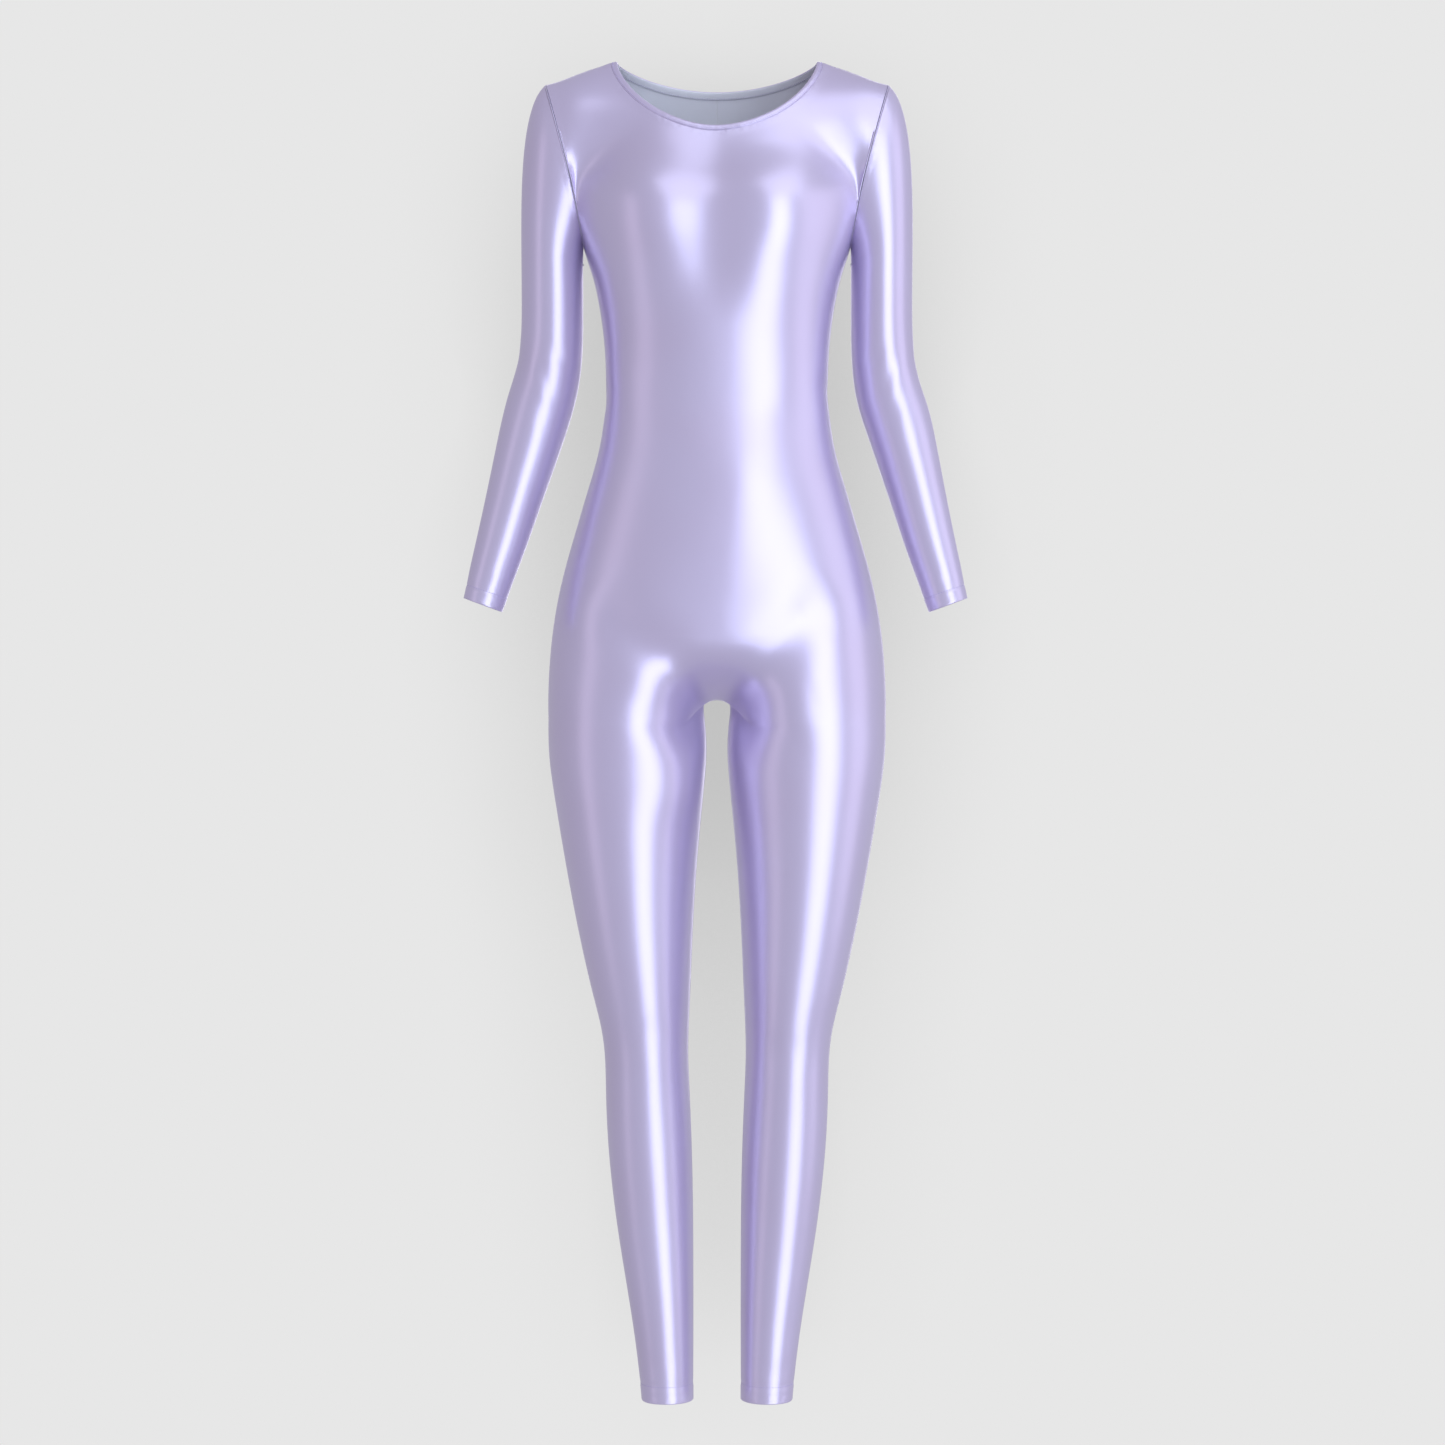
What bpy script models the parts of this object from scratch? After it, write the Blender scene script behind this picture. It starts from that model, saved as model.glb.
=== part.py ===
"""Full body spandex suit, filled out and open at the neck, the two cuffs and the two ankles.

The suit stands in its own frame: +Z up, front towards -Y, the wearer's left towards +X. The origin lies
midway between the two high shoulder points, where the wearer's shoulders carry the suit. Every cloth
piece is a wall with the panel's outer face on the suit's form and its thickness laid inwards.
"""

from collections import namedtuple

import bmesh
import bpy
import numpy as np

MM = 0.001
ON_PLANE = 0.001
SHARP_ANGLE = 50.0
SWING_STEP = 0.001
MERGE_DISTANCE = 0.00002

# Cloth, in millimetres
WALL = 1.2
HEM_WALL = 1.8
ANKLE_HEM_DEPTH = 14.0
CUFF_HEM_RINGS = 2
SEAM_GAP = 0.3

# Neck opening: a wide scoop, measured from the high shoulder points
NECK_HALF_WIDTH = 104.0
NECK_FRONT_DROP = 75.0
NECK_BACK_DROP = 18.5
NECK_FRONT_REACH = 66.0
NECK_BACK_REACH = 76.0
NECK_FRONT_ROUND = 1.3
NECK_BACK_ROUND = 1.9

# Neck binding, folded over the edge with its turn lying inside
BIND_FACE = 5.5
BIND_TURN = 8.2
BIND_SHEET = 1.0
BIND_EASE = 0.35

# Armhole: shoulder tip, underarm and how far the seam scoops to the front and the back
TIP_X = 178.0
TIP_Z = -24.0
UNDERARM_X = 138.6
UNDERARM_Z = -193.0
ARMHOLE_Y = 3.0
ARMHOLE_FRONT_SCOOP = 50.0
ARMHOLE_BACK_SCOOP = 58.0
ARMHOLE_FRONT_TAPER = 1.24
ARMHOLE_BACK_TAPER = 0.95
SLEEVE_STEP = 0.45

# Chest line, where the yoke runs into the body
CHEST_FRONT_Y = -110.0
CHEST_BACK_Y = 101.0
CHEST_Z = -166.0
CHEST_REACH = 1.12
CHEST_FRONT_LEAN = -0.12
CHEST_BACK_LEAN = -0.08
CHEST_SIDE_LEAN = 0.16

# Bust fullness of the cut, a soft mound each side
BUST_X = 66.0
BUST_Z = -166.0
BUST_RISE = 9.0
BUST_SPREAD_X = 43.0
BUST_SPREAD_Z = 56.0
BUST_WRAP = 70.0

# Crotch: the lowest point of the centre line and the level where the centre line starts to turn under
CROTCH_Y = 2.0
CROTCH_Z = -661.0
TURN_Z = -585.0
FRONT_TURN_ROUND = 2.1
BACK_TURN_ROUND = 2.6
SIDE_Z_AT_CROTCH = -684.0

# Level rows: how square the sides are in plan, and over what run a row climbs to its inseam
SIDE_ROUNDNESS = 2.3
CLIMB_RUN = 62.0

# Grid counts
BODY_SPLITS = 6
UNDERARM_SPLITS = 3
ARMHOLE_SPLITS = 7
TURN_ROWS = 6
EASING = (0.5, -0.52)
EASING_PASSES = 4

Level = namedtuple("Level", "z side_x side_y front_x front_y back_x back_y")
LEVELS = (
    Level(-160.0, 151.0, 4.0, 0.0, -115.0, 0.0, 101.0),
    Level(-193.0, 138.6, 3.0, 0.0, -114.0, 0.0, 98.0),
    Level(-237.0, 125.5, 1.0, 0.0, -108.0, 0.0, 90.0),
    Level(-280.0, 118.0, 0.0, 0.0, -100.0, 0.0, 81.0),
    Level(-340.0, 115.3, -1.0, 0.0, -91.0, 0.0, 75.0),
    Level(-404.0, 122.0, 0.0, 4.0, -95.0, 8.0, 83.0),
    Level(-445.0, 134.0, 1.0, 8.0, -100.0, 18.0, 93.0),
    Level(-487.0, 146.0, 3.0, 14.0, -103.0, 30.0, 104.0),
    Level(-528.0, 158.0, 5.0, 26.0, -104.0, 43.0, 113.0),
    Level(-570.0, 167.0, 6.0, 45.0, -103.0, 58.0, 118.0),
    Level(-612.0, 172.6, 7.0, 66.0, -100.0, 73.0, 118.0),
    Level(-653.0, 175.0, 7.0, 83.0, -97.0, 85.0, 111.0),
    Level(-684.0, 175.0, 6.0, 90.0, -96.0, 91.0, 102.0),
    Level(-720.0, 174.0, 4.0, 92.0, -95.5, 92.0, 92.0),
    Level(-778.0, 166.0, 1.0, 91.0, -93.0, 91.0, 80.0),
    Level(-840.0, 155.5, -1.0, 89.0, -87.0, 89.0, 70.0),
    Level(-903.0, 143.5, -1.0, 85.0, -79.0, 85.0, 61.0),
    Level(-965.0, 130.0, 0.0, 79.0, -70.0, 79.0, 53.5),
    Level(-996.0, 121.5, 1.0, 76.0, -65.0, 76.0, 50.5),
    Level(-1028.0, 116.5, 3.0, 74.0, -60.0, 74.0, 51.0),
    Level(-1090.0, 115.0, 6.0, 72.0, -51.0, 72.0, 59.0),
    Level(-1152.0, 110.5, 8.0, 68.5, -45.0, 68.5, 62.0),
    Level(-1215.0, 103.0, 8.0, 64.0, -40.0, 64.0, 57.0),
    Level(-1277.0, 93.0, 6.0, 59.0, -36.0, 59.0, 48.5),
    Level(-1340.0, 83.0, 4.0, 54.0, -33.0, 54.0, 40.5),
    Level(-1391.0, 78.0, 3.0, 51.5, -31.0, 51.5, 37.0),
)

Inseam = namedtuple("Inseam", "z x y side_z turn reach")
ARCH = (
    Inseam(-661.0, 0.0, 2.0, -684.0, 32.0, 27.0),
    Inseam(-662.5, 7.0, 2.0, -689.0, 48.0, 31.0),
    Inseam(-667.0, 11.4, 2.0, -697.0, 64.0, 36.0),
    Inseam(-676.0, 12.8, 2.0, -707.0, 77.0, 41.0),
    Inseam(-691.0, 12.0, 2.0, -719.0, 86.0, 47.0),
    Inseam(-714.0, 11.4, 2.0, -734.0, 90.0, 51.0),
)
LEG_INSEAM = (
    Inseam(-745.0, 13.0, 1.0, -753.0, 90.0, 0.0),
    Inseam(-778.0, 16.0, 1.0, -778.0, 90.0, 0.0),
    Inseam(-840.0, 22.0, 0.0, -840.0, 90.0, 0.0),
    Inseam(-903.0, 25.5, 0.0, -903.0, 90.0, 0.0),
    Inseam(-965.0, 28.0, 1.0, -965.0, 90.0, 0.0),
    Inseam(-1000.0, 29.6, 2.0, -1000.0, 90.0, 0.0),
    Inseam(-1035.0, 30.5, 3.0, -1035.0, 90.0, 0.0),
    Inseam(-1075.0, 28.6, 5.0, -1075.0, 90.0, 0.0),
    Inseam(-1120.0, 27.0, 7.0, -1120.0, 90.0, 0.0),
    Inseam(-1165.0, 25.8, 8.0, -1165.0, 90.0, 0.0),
    Inseam(-1215.0, 25.2, 8.0, -1215.0, 90.0, 0.0),
    Inseam(-1270.0, 25.0, 6.0, -1270.0, 90.0, 0.0),
    Inseam(-1325.0, 25.0, 4.0, -1325.0, 90.0, 0.0),
    Inseam(-1391.0 + ANKLE_HEM_DEPTH, 25.0, 3.0, -1391.0 + ANKLE_HEM_DEPTH, 90.0, 0.0),
    Inseam(-1391.0, 25.0, 3.0, -1391.0, 90.0, 0.0),
)
TORSO_ROWS = (-237.0, -270.0, -305.0, -340.0, -375.0, -410.0, -445.0, -487.0, -528.0, -558.0, TURN_Z)
UPPER_SIDE_ROWS = 3
YOKE_STEPS = (0.0, 0.12, 0.28, 0.46, 0.64, 0.82, 1.0)

Ring = namedtuple("Ring", "x y z half_width half_depth tilt")
SLEEVE_RINGS = (
    Ring(171.5, 4.0, -215.0, 32.0, 43.0, 0.0),
    Ring(171.4, 6.0, -250.0, 32.0, 42.5, 0.0),
    Ring(171.8, 8.5, -280.0, 32.2, 42.0, 2.0),
    Ring(173.6, 10.5, -305.0, 33.0, 41.5, 5.0),
    Ring(177.6, 10.5, -330.0, 34.0, 41.0, 9.0),
    Ring(184.0, 8.5, -355.0, 34.8, 40.5, 12.5),
    Ring(192.2, 4.5, -385.0, 33.8, 39.0, 15.0),
    Ring(201.5, -1.0, -420.0, 31.5, 36.5, 15.5),
    Ring(212.2, -9.0, -460.0, 28.6, 33.0, 16.0),
    Ring(223.0, -17.0, -500.0, 26.0, 29.5, 16.5),
    Ring(233.1, -23.0, -535.0, 23.4, 26.8, 17.5),
    Ring(237.6, -26.0, -552.0, 22.0, 25.6, 18.5),
    Ring(241.7, -28.0, -566.0, 20.9, 24.8, 20.0),
)
CAP_STEPS = (0.0, 0.09, 0.2, 0.34, 0.5, 0.67, 0.84)
ELBOW_Z = -325.0
ELBOW_SPAN = 45.0

SleeveSide = namedtuple("SleeveSide", "name mirror elbow_drop cuff_in")
SLEEVES = (
    SleeveSide("sleeve_left", 1.0, 7.0, 3.0),
    SleeveSide("sleeve_right", -1.0, 0.0, 0.0),
)

LILAC = (0.50, 0.45, 0.66, 1.0)


def smoothstep(value):
    """Ease a value from 0 to 1 with no slope at either end."""
    held = np.clip(value, 0.0, 1.0)
    return held * held * (3.0 - 2.0 * held)


def unit(vector):
    """Give vectors of length one along the last axis."""
    vector = np.asarray(vector, dtype=float)
    return vector / np.maximum(np.linalg.norm(vector, axis=-1, keepdims=True), 1e-12)


def smooth_column(heights, values, wanted):
    """Read one column of a table at a height, along a smooth cubic through its rows."""
    rising_z = np.asarray(heights)[::-1]
    rising_v = np.asarray(values)[::-1]
    slopes = np.gradient(rising_v, rising_z)
    wanted = np.clip(wanted, rising_z[0], rising_z[-1])
    low = np.clip(np.searchsorted(rising_z, wanted) - 1, 0, len(rising_z) - 2)
    span = rising_z[low + 1] - rising_z[low]
    t = (wanted - rising_z[low]) / span
    start = rising_v[low] * (1 + 2 * t) * (1 - t) ** 2 + slopes[low] * span * t * (1 - t) ** 2
    end = rising_v[low + 1] * t * t * (3 - 2 * t) + slopes[low + 1] * span * t * t * (t - 1)
    return start + end


def level_at(z):
    """Read every column of the body table at one height."""
    heights = [level.z for level in LEVELS]
    columns = [smooth_column(heights, [level[i] for level in LEVELS], z) for i in range(1, 7)]
    return Level(z, *columns)


def hermite(start, start_slope, end, end_slope, t):
    """Give points on a cubic that leaves start and meets end with the given slopes."""
    t = np.asarray(t, dtype=float)[..., None]
    return (
        start * (1 + 2 * t) * (1 - t) ** 2
        + start_slope * t * (1 - t) ** 2
        + end * t * t * (3 - 2 * t)
        + end_slope * t * t * (t - 1)
    )


def spaced(points, count):
    """Place count + 1 points at even steps along a dense line of points."""
    steps = np.linalg.norm(np.diff(points, axis=0), axis=1)
    travelled = np.concatenate([[0.0], np.cumsum(steps)])
    wanted = np.linspace(0.0, travelled[-1], count + 1)
    return np.stack([np.interp(wanted, travelled, points[:, axis]) for axis in range(3)], axis=1)


def bust(points):
    """Push the front of the chest out into its two soft mounds."""
    across = (np.abs(points[..., 0]) - BUST_X) / BUST_SPREAD_X
    up = (points[..., 2] - BUST_Z) / BUST_SPREAD_Z
    facing = smoothstep(-points[..., 1] / BUST_WRAP)
    raised = points.copy()
    raised[..., 1] -= BUST_RISE * np.exp(-0.5 * (across**2 + up**2)) * facing
    return raised


def half_row(inner, far_x, far_y, side, turn, reach, facing, side_z):
    """Lay one half row in plan, from its inner end round the front or back to the side.

    The inner stretch is a cubic to the farthest point, the outer stretch a quarter superellipse.
    facing is -1 for the front and +1 for the back.
    """
    centred = far_x < inner[0] + 1.0
    far_x = inner[0] if centred else far_x
    t = np.linspace(0.0, 1.0, 40)[:, None]
    angle = np.radians(turn)
    leave = np.array([np.cos(angle), facing * np.sin(angle)]) * reach
    start = inner[:2]
    far = np.array([far_x, far_y])
    arrive = far - np.array([0.55 * (far_x - inner[0]), 0.0])
    inner_part = (
        start * (1 - t) ** 3
        + 3 * (start + leave) * t * (1 - t) ** 2
        + 3 * arrive * t * t * (1 - t)
        + far * t**3
    )
    swing = np.linspace(0.0, np.pi / 2, 40)[:, None]
    power = 2.0 / SIDE_ROUNDNESS
    outer_part = np.concatenate(
        [
            far_x + (side[0] - far_x) * np.sin(swing) ** power,
            side[1] + (far_y - side[1]) * np.cos(swing) ** power,
        ],
        axis=1,
    )
    plan = outer_part if centred else np.concatenate([inner_part[:-1], outer_part])
    away = np.linalg.norm(plan - start, axis=1)
    height = inner[2] + (side_z - inner[2]) * smoothstep(away / CLIMB_RUN)
    return np.concatenate([plan, height[:, None]], axis=1)


def body_row(front_inner, back_inner, side_z, turn, reach):
    """Give the row's points from the front inner end, past the side seam, to the back inner end."""
    level = level_at(side_z)
    side = (level.side_x, level.side_y)
    columns = BODY_SPLITS + UNDERARM_SPLITS
    front_reach = reach if reach else 0.55 * abs(level.front_y - front_inner[1])
    back_reach = reach if reach else 0.55 * abs(level.back_y - back_inner[1])
    front = half_row(front_inner, level.front_x, level.front_y, side, turn, front_reach, -1, side_z)
    back = half_row(back_inner, level.back_x, level.back_y, side, turn, back_reach, 1, side_z)
    front = spaced(front, columns)
    back = spaced(back, columns)
    return np.concatenate([front, back[::-1][1:]])


def torso_row(z):
    """Give a level row of the torso above the crotch."""
    level = level_at(z)
    front_inner = np.array([0.0, level.front_y, z])
    back_inner = np.array([0.0, level.back_y, z])
    reach = max(0.5 * level.front_x, 1.0)
    return body_row(front_inner, back_inner, z, 0.0, reach)


def turning_row(step):
    """Give a row between the belly and the crotch, whose ends follow the centre line under."""
    swing = step * np.pi / 2
    top = level_at(TURN_Z)
    ends = []
    for far_y, roundness in ((top.front_y, FRONT_TURN_ROUND), (top.back_y, BACK_TURN_ROUND)):
        y = CROTCH_Y + (far_y - CROTCH_Y) * np.cos(swing) ** (2.0 / roundness)
        z = TURN_Z + (CROTCH_Z - TURN_Z) * np.sin(swing) ** (2.0 / roundness)
        ends.append(np.array([0.0, y, z]))
    side_z = TURN_Z + (SIDE_Z_AT_CROTCH - TURN_Z) * step
    start_reach = 0.5 * top.front_x
    reach = start_reach + (ARCH[0].reach - start_reach) * smoothstep(step)
    return body_row(ends[0], ends[1], side_z, ARCH[0].turn * step**2, reach)


def leg_row(inseam):
    """Give one closed ring of the leg, from the inseam round the front, side and back."""
    inner = np.array([inseam.x, inseam.y, inseam.z])
    return body_row(inner, inner, inseam.side_z, inseam.turn, inseam.reach)


def armhole_point(swing, facing):
    """Give the armhole seam at an angle from the shoulder tip (0) to the underarm (pi)."""
    share = (1.0 + np.cos(swing)) / 2.0
    taper = ARMHOLE_FRONT_TAPER if facing < 0 else ARMHOLE_BACK_TAPER
    scoop = ARMHOLE_FRONT_SCOOP if facing < 0 else ARMHOLE_BACK_SCOOP
    return np.array(
        [
            UNDERARM_X + (TIP_X - UNDERARM_X) * share**taper,
            ARMHOLE_Y + facing * scoop * np.sin(swing),
            UNDERARM_Z + (TIP_Z - UNDERARM_Z) * share,
        ]
    )


def armhole_facing(swing, facing):
    """Give the way the cloth faces at the armhole: up at the tip, outwards at the underarm."""
    up = ((1.0 + np.cos(swing)) / 2.0) ** 1.5
    out = 0.25 + 0.75 * (1.0 - np.cos(swing)) / 2.0
    return unit([out, facing * 0.95 * np.sin(swing), up])


def armhole_crossing(swing, facing):
    """Give the direction in which the cloth crosses the armhole, out of the body."""
    along = armhole_point(swing + SWING_STEP, facing) - armhole_point(swing - SWING_STEP, facing)
    return unit(facing * np.cross(along, armhole_facing(swing, facing)))


def armhole_swings():
    """Give the angles of the armhole's points from the underarm up to the shoulder tip."""
    return np.linspace(np.pi, 0.0, UNDERARM_SPLITS + ARMHOLE_SPLITS + 1)


def neck_point(turn, facing):
    """Give the neck edge at an angle from the centre line (0) to the shoulder (pi / 2)."""
    near = max(np.cos(turn), 0.0)
    if facing < 0:
        y, z = -NECK_FRONT_REACH * near, -NECK_FRONT_DROP * near**NECK_FRONT_ROUND
    else:
        y, z = NECK_BACK_REACH * near, -NECK_BACK_DROP * near**NECK_BACK_ROUND
    return np.array([NECK_HALF_WIDTH * np.sin(turn), y, z])


def neck_leaving(turn, facing):
    """Give the direction in which the cloth leaves the neck edge."""
    sideways = np.sin(turn) ** 1.6
    ahead = np.cos(turn) ** 1.6
    drop = np.array([0.0, -0.45, -0.9]) if facing < 0 else np.array([0.0, 0.42, -0.9])
    return unit(sideways * np.array([1.0, 0.0, -0.17]) + ahead * drop)


def chest_line(facing):
    """Give the row where the yoke meets the body, from the centre line to the armhole."""
    swing = armhole_swings()[UNDERARM_SPLITS]
    end = armhole_point(swing, facing)
    far_y = CHEST_FRONT_Y if facing < 0 else CHEST_BACK_Y
    start = np.array([0.0, far_y, CHEST_Z])
    reach = np.linalg.norm(end - start) * CHEST_REACH
    arrive = unit([0.52, -facing * 0.85, 0.06])
    dense = hermite(start, np.array([reach, 0.0, 0.0]), end, arrive * reach, np.linspace(0, 1, 60))
    return spaced(dense, BODY_SPLITS)


def chest_falling(column, facing):
    """Give the downward slope of the cloth where a column crosses the chest line."""
    lean = CHEST_FRONT_LEAN if facing < 0 else CHEST_BACK_LEAN
    inward = -CHEST_SIDE_LEAN * smoothstep(column / BODY_SPLITS)
    return unit([inward, lean, -1.0])


def yoke_half(facing):
    """Give the yoke grid of the front or back: rows from the neck edge, columns to the shoulder."""
    columns = BODY_SPLITS + ARMHOLE_SPLITS
    turns = np.linspace(0.0, np.pi / 2, 200)
    rim = np.array([neck_point(turn, facing) for turn in turns])
    travelled = np.concatenate([[0.0], np.cumsum(np.linalg.norm(np.diff(rim, axis=0), axis=1))])
    rim_turns = np.interp(np.linspace(0.0, travelled[-1], columns + 1), travelled, turns)
    chest = chest_line(facing)
    swings = armhole_swings()
    grid = []
    for column in range(columns + 1):
        start = neck_point(rim_turns[column], facing)
        if column <= BODY_SPLITS:
            end, arrive = chest[column], chest_falling(column, facing)
        else:
            swing = swings[UNDERARM_SPLITS + column - BODY_SPLITS]
            end = armhole_point(swing, facing)
            across = smoothstep((column - BODY_SPLITS) / ARMHOLE_SPLITS)
            falling = chest_falling(BODY_SPLITS, facing)
            arrive = unit((1.0 - across) * falling + across * armhole_crossing(swing, facing))
        length = np.linalg.norm(end - start)
        leave = neck_leaving(rim_turns[column], facing)
        bound = (BIND_FACE + SEAM_GAP / 2) / length
        turned = (BIND_TURN + 1.0) / length
        steps = np.concatenate([[0.0, bound, turned], turned + (1.0 - turned) * np.array(YOKE_STEPS[1:])])
        grid.append(hermite(start, leave * length, end, arrive * length, steps))
    return bust(np.array(grid).transpose(1, 0, 2))


def upper_side(facing):
    """Give the grid between the chest line with the underarm and the first level row below it."""
    below = torso_row(TORSO_ROWS[0])
    columns = BODY_SPLITS + UNDERARM_SPLITS
    lower = below[: columns + 1] if facing < 0 else below[columns:][::-1]
    nearby = torso_row(TORSO_ROWS[0] - 4.0)
    nearby = nearby[: columns + 1] if facing < 0 else nearby[columns:][::-1]
    chest = chest_line(facing)
    swings = armhole_swings()
    grid = []
    for column in range(columns + 1):
        if column <= BODY_SPLITS:
            start, leave = chest[column], chest_falling(column, facing)
        else:
            swing = swings[columns - column]
            start = armhole_point(swing, facing)
            mix = (column - BODY_SPLITS) / UNDERARM_SPLITS
            crossing = (1.0 - mix) * chest_falling(BODY_SPLITS, facing) + mix * np.array([-0.3, 0.0, -0.95])
            leave = unit(crossing)
        end = lower[column]
        length = np.linalg.norm(end - start)
        arrive = unit(nearby[column] - end)
        steps = np.linspace(0.0, 1.0, UPPER_SIDE_ROWS + 1)
        grid.append(hermite(start, leave * length, end, arrive * length, steps))
    return bust(np.array(grid).transpose(1, 0, 2))


def lower_body():
    """Give the rows from the ribs to the ankle, each from the front inner end to the back one."""
    rows = [torso_row(z) for z in TORSO_ROWS]
    rows += [turning_row(step / TURN_ROWS) for step in range(1, TURN_ROWS)]
    rows += [leg_row(inseam) for inseam in ARCH + LEG_INSEAM]
    return bust(np.array(rows))


def sleeve_grid(side):
    """Give one sleeve's rows of points, from the armhole to the cuff, for the +X side."""
    half = UNDERARM_SPLITS + ARMHOLE_SPLITS
    swings = np.concatenate([np.linspace(0, np.pi, half + 1), np.linspace(np.pi, 0, half + 1)[1:-1]])
    facings = [-1.0] * (half + 1) + [1.0] * (half - 1)
    cuff_z = SLEEVE_RINGS[-1].z
    rings = []
    for ring in SLEEVE_RINGS:
        near_elbow = np.exp(-(((ring.z - ELBOW_Z) / ELBOW_SPAN) ** 2))
        past_elbow = smoothstep((ELBOW_Z - ring.z) / (ELBOW_Z - cuff_z))
        tilt = np.radians(ring.tilt)
        lateral = np.array([np.cos(tilt), 0.0, np.sin(tilt)])
        depth = np.array([0.0, 1.0, 0.0])
        centre = np.array([ring.x, ring.y, ring.z])
        centre += np.array([-side.cuff_in * past_elbow, 0.0, -side.elbow_drop * near_elbow])
        rings.append(
            [
                centre + lateral * ring.half_width * np.cos(swing) + depth * facing * ring.half_depth * np.sin(swing)
                for swing, facing in zip(swings, facings)
            ]
        )
    rings = np.array(rings)
    cap = []
    for column, (swing, facing) in enumerate(zip(swings, facings)):
        start = armhole_point(swing, facing) + np.array([SLEEVE_STEP, 0.0, 0.0])
        end = rings[0][column]
        length = np.linalg.norm(end - start)
        share = (1.0 + np.cos(swing)) / 2.0
        at_tip = share * np.array([0.75, 0.0, -0.66])
        at_underarm = (1 - share) * np.array([0.04, facing * 0.1, -1.0])
        leave = unit(at_tip + at_underarm + np.sin(swing) * np.array([0.35, 0.0, 0.0]))
        drop = unit(rings[1][column] - end)
        cap.append(hermite(start, leave * length * (0.58 + 0.42 * (1 - share)), end, drop * length, CAP_STEPS))
    cap = np.array(cap).transpose(1, 0, 2)
    return np.concatenate([cap, rings])


class Sheet:
    """An open sheet of quads whose points are shared where they coincide."""

    def __init__(self):
        self.points = []
        self.faces = []
        self.index = {}

    def add_point(self, point):
        """Give the number of the sheet's point at this place, added when it is new."""
        key = place_key(point)
        if key not in self.index:
            self.index[key] = len(self.points)
            self.points.append(np.array(point, dtype=float))
        return self.index[key]

    def add_grid(self, grid, flip=False, closed=False):
        """Lay a grid's quads; flip turns them over, closed joins the last column to the first."""
        numbers = [[self.add_point(point) for point in row] for row in grid]
        width = len(numbers[0])
        for upper, lower in zip(numbers, numbers[1:]):
            for column in range(width if closed else width - 1):
                right = (column + 1) % width
                quad = [upper[column], lower[column], lower[right], upper[right]]
                corners = list(dict.fromkeys(quad[:1] + quad[:0:-1] if flip else quad))
                if len(corners) > 2:
                    self.faces.append(corners)

    def normals(self, mirrored):
        """Give each point's facing; a mirrored sheet's centre points face straight ahead."""
        points = np.array(self.points)
        total = np.zeros_like(points)
        for face in self.faces:
            corners = points[face]
            spokes = corners[1:] - corners[0]
            total[face] += np.cross(spokes[:-1], spokes[1:]).sum(axis=0)
        if mirrored:
            total[np.abs(points[:, 0]) < ON_PLANE, 0] = 0.0
        return unit(total)

    def ease(self, held):
        """Ease puckers out of the sheet without shrinking it; border points and held places stay."""
        links = [set() for _ in self.points]
        for face in self.faces:
            for start, end in zip(face, face[1:] + face[:1]):
                links[start].add(end)
                links[end].add(start)
        points = np.array(self.points)
        centre = np.abs(points[:, 0]) < ON_PLANE
        fixed = {self.index[key] for key in held if key in self.index}
        for start, end in border_edges(self):
            if not (centre[start] and centre[end]):
                fixed.update((start, end))
        free = [number for number in range(len(points)) if number not in fixed]
        for strength in EASING * EASING_PASSES:
            drift = np.zeros_like(points)
            for number in free:
                near = list(links[number])
                weight = np.where(centre[near], 1.0, 2.0) if centre[number] else np.ones(len(near))
                drift[number] = np.average(points[near], axis=0, weights=weight) - points[number]
                if centre[number]:
                    drift[number, 0] = 0.0
            points = points + strength * drift
        self.points = list(points)


def place_key(point):
    """Give a point's place as a key that coinciding points share."""
    return tuple(np.round(point, 3) + 0.0)


def body_sheets():
    """Give the whole half body as one sheet, then its front and back as sheets of their own."""
    front_yoke, back_yoke = yoke_half(-1), yoke_half(1)
    front_side, back_side = upper_side(-1), upper_side(1)
    lower = lower_body()
    columns = BODY_SPLITS + UNDERARM_SPLITS
    whole, front, back = Sheet(), Sheet(), Sheet()
    for sheet, yoke_from in ((whole, 0), (front, 1), (back, 1)):
        if sheet is not back:
            sheet.add_grid(front_yoke[yoke_from:])
            sheet.add_grid(front_side)
            sheet.add_grid(lower[:, : columns + 1])
        if sheet is not front:
            sheet.add_grid(back_yoke[yoke_from:], flip=True)
            sheet.add_grid(back_side, flip=True)
            sheet.add_grid(lower[:, columns:])
    held = [place_key(point) for yoke in (front_yoke, back_yoke) for row in yoke[:3] for point in row]
    whole.ease(held)
    for sheet in (front, back):
        sheet.points = [whole.points[whole.index[key]] for key in sheet.index]
    return whole, front, back, front_yoke, back_yoke


def border_edges(sheet):
    """Give the sheet's border edges, each with its face on its left."""
    edges = {}
    for face in sheet.faces:
        for start, end in zip(face, face[1:] + face[:1]):
            edges[(start, end)] = True
    return [edge for edge in edges if (edge[1], edge[0]) not in edges]


def drawn_in(sheet, facing, centred):
    """Draw the sheet's border in by half the seam gap, along its own face."""
    points = np.array(sheet.points)
    pull = np.zeros_like(points)
    for start, end in border_edges(sheet):
        if centred and abs(points[start][0]) < ON_PLANE and abs(points[end][0]) < ON_PLANE:
            continue
        inward = unit(np.cross(facing[start] + facing[end], points[end] - points[start]))
        pull[start] += inward
        pull[end] += inward
    if centred:
        pull[np.abs(points[:, 0]) < ON_PLANE, 0] = 0.0
    return points + unit(pull) * (np.linalg.norm(pull, axis=1, keepdims=True) > 1e-6) * SEAM_GAP / 2


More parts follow.
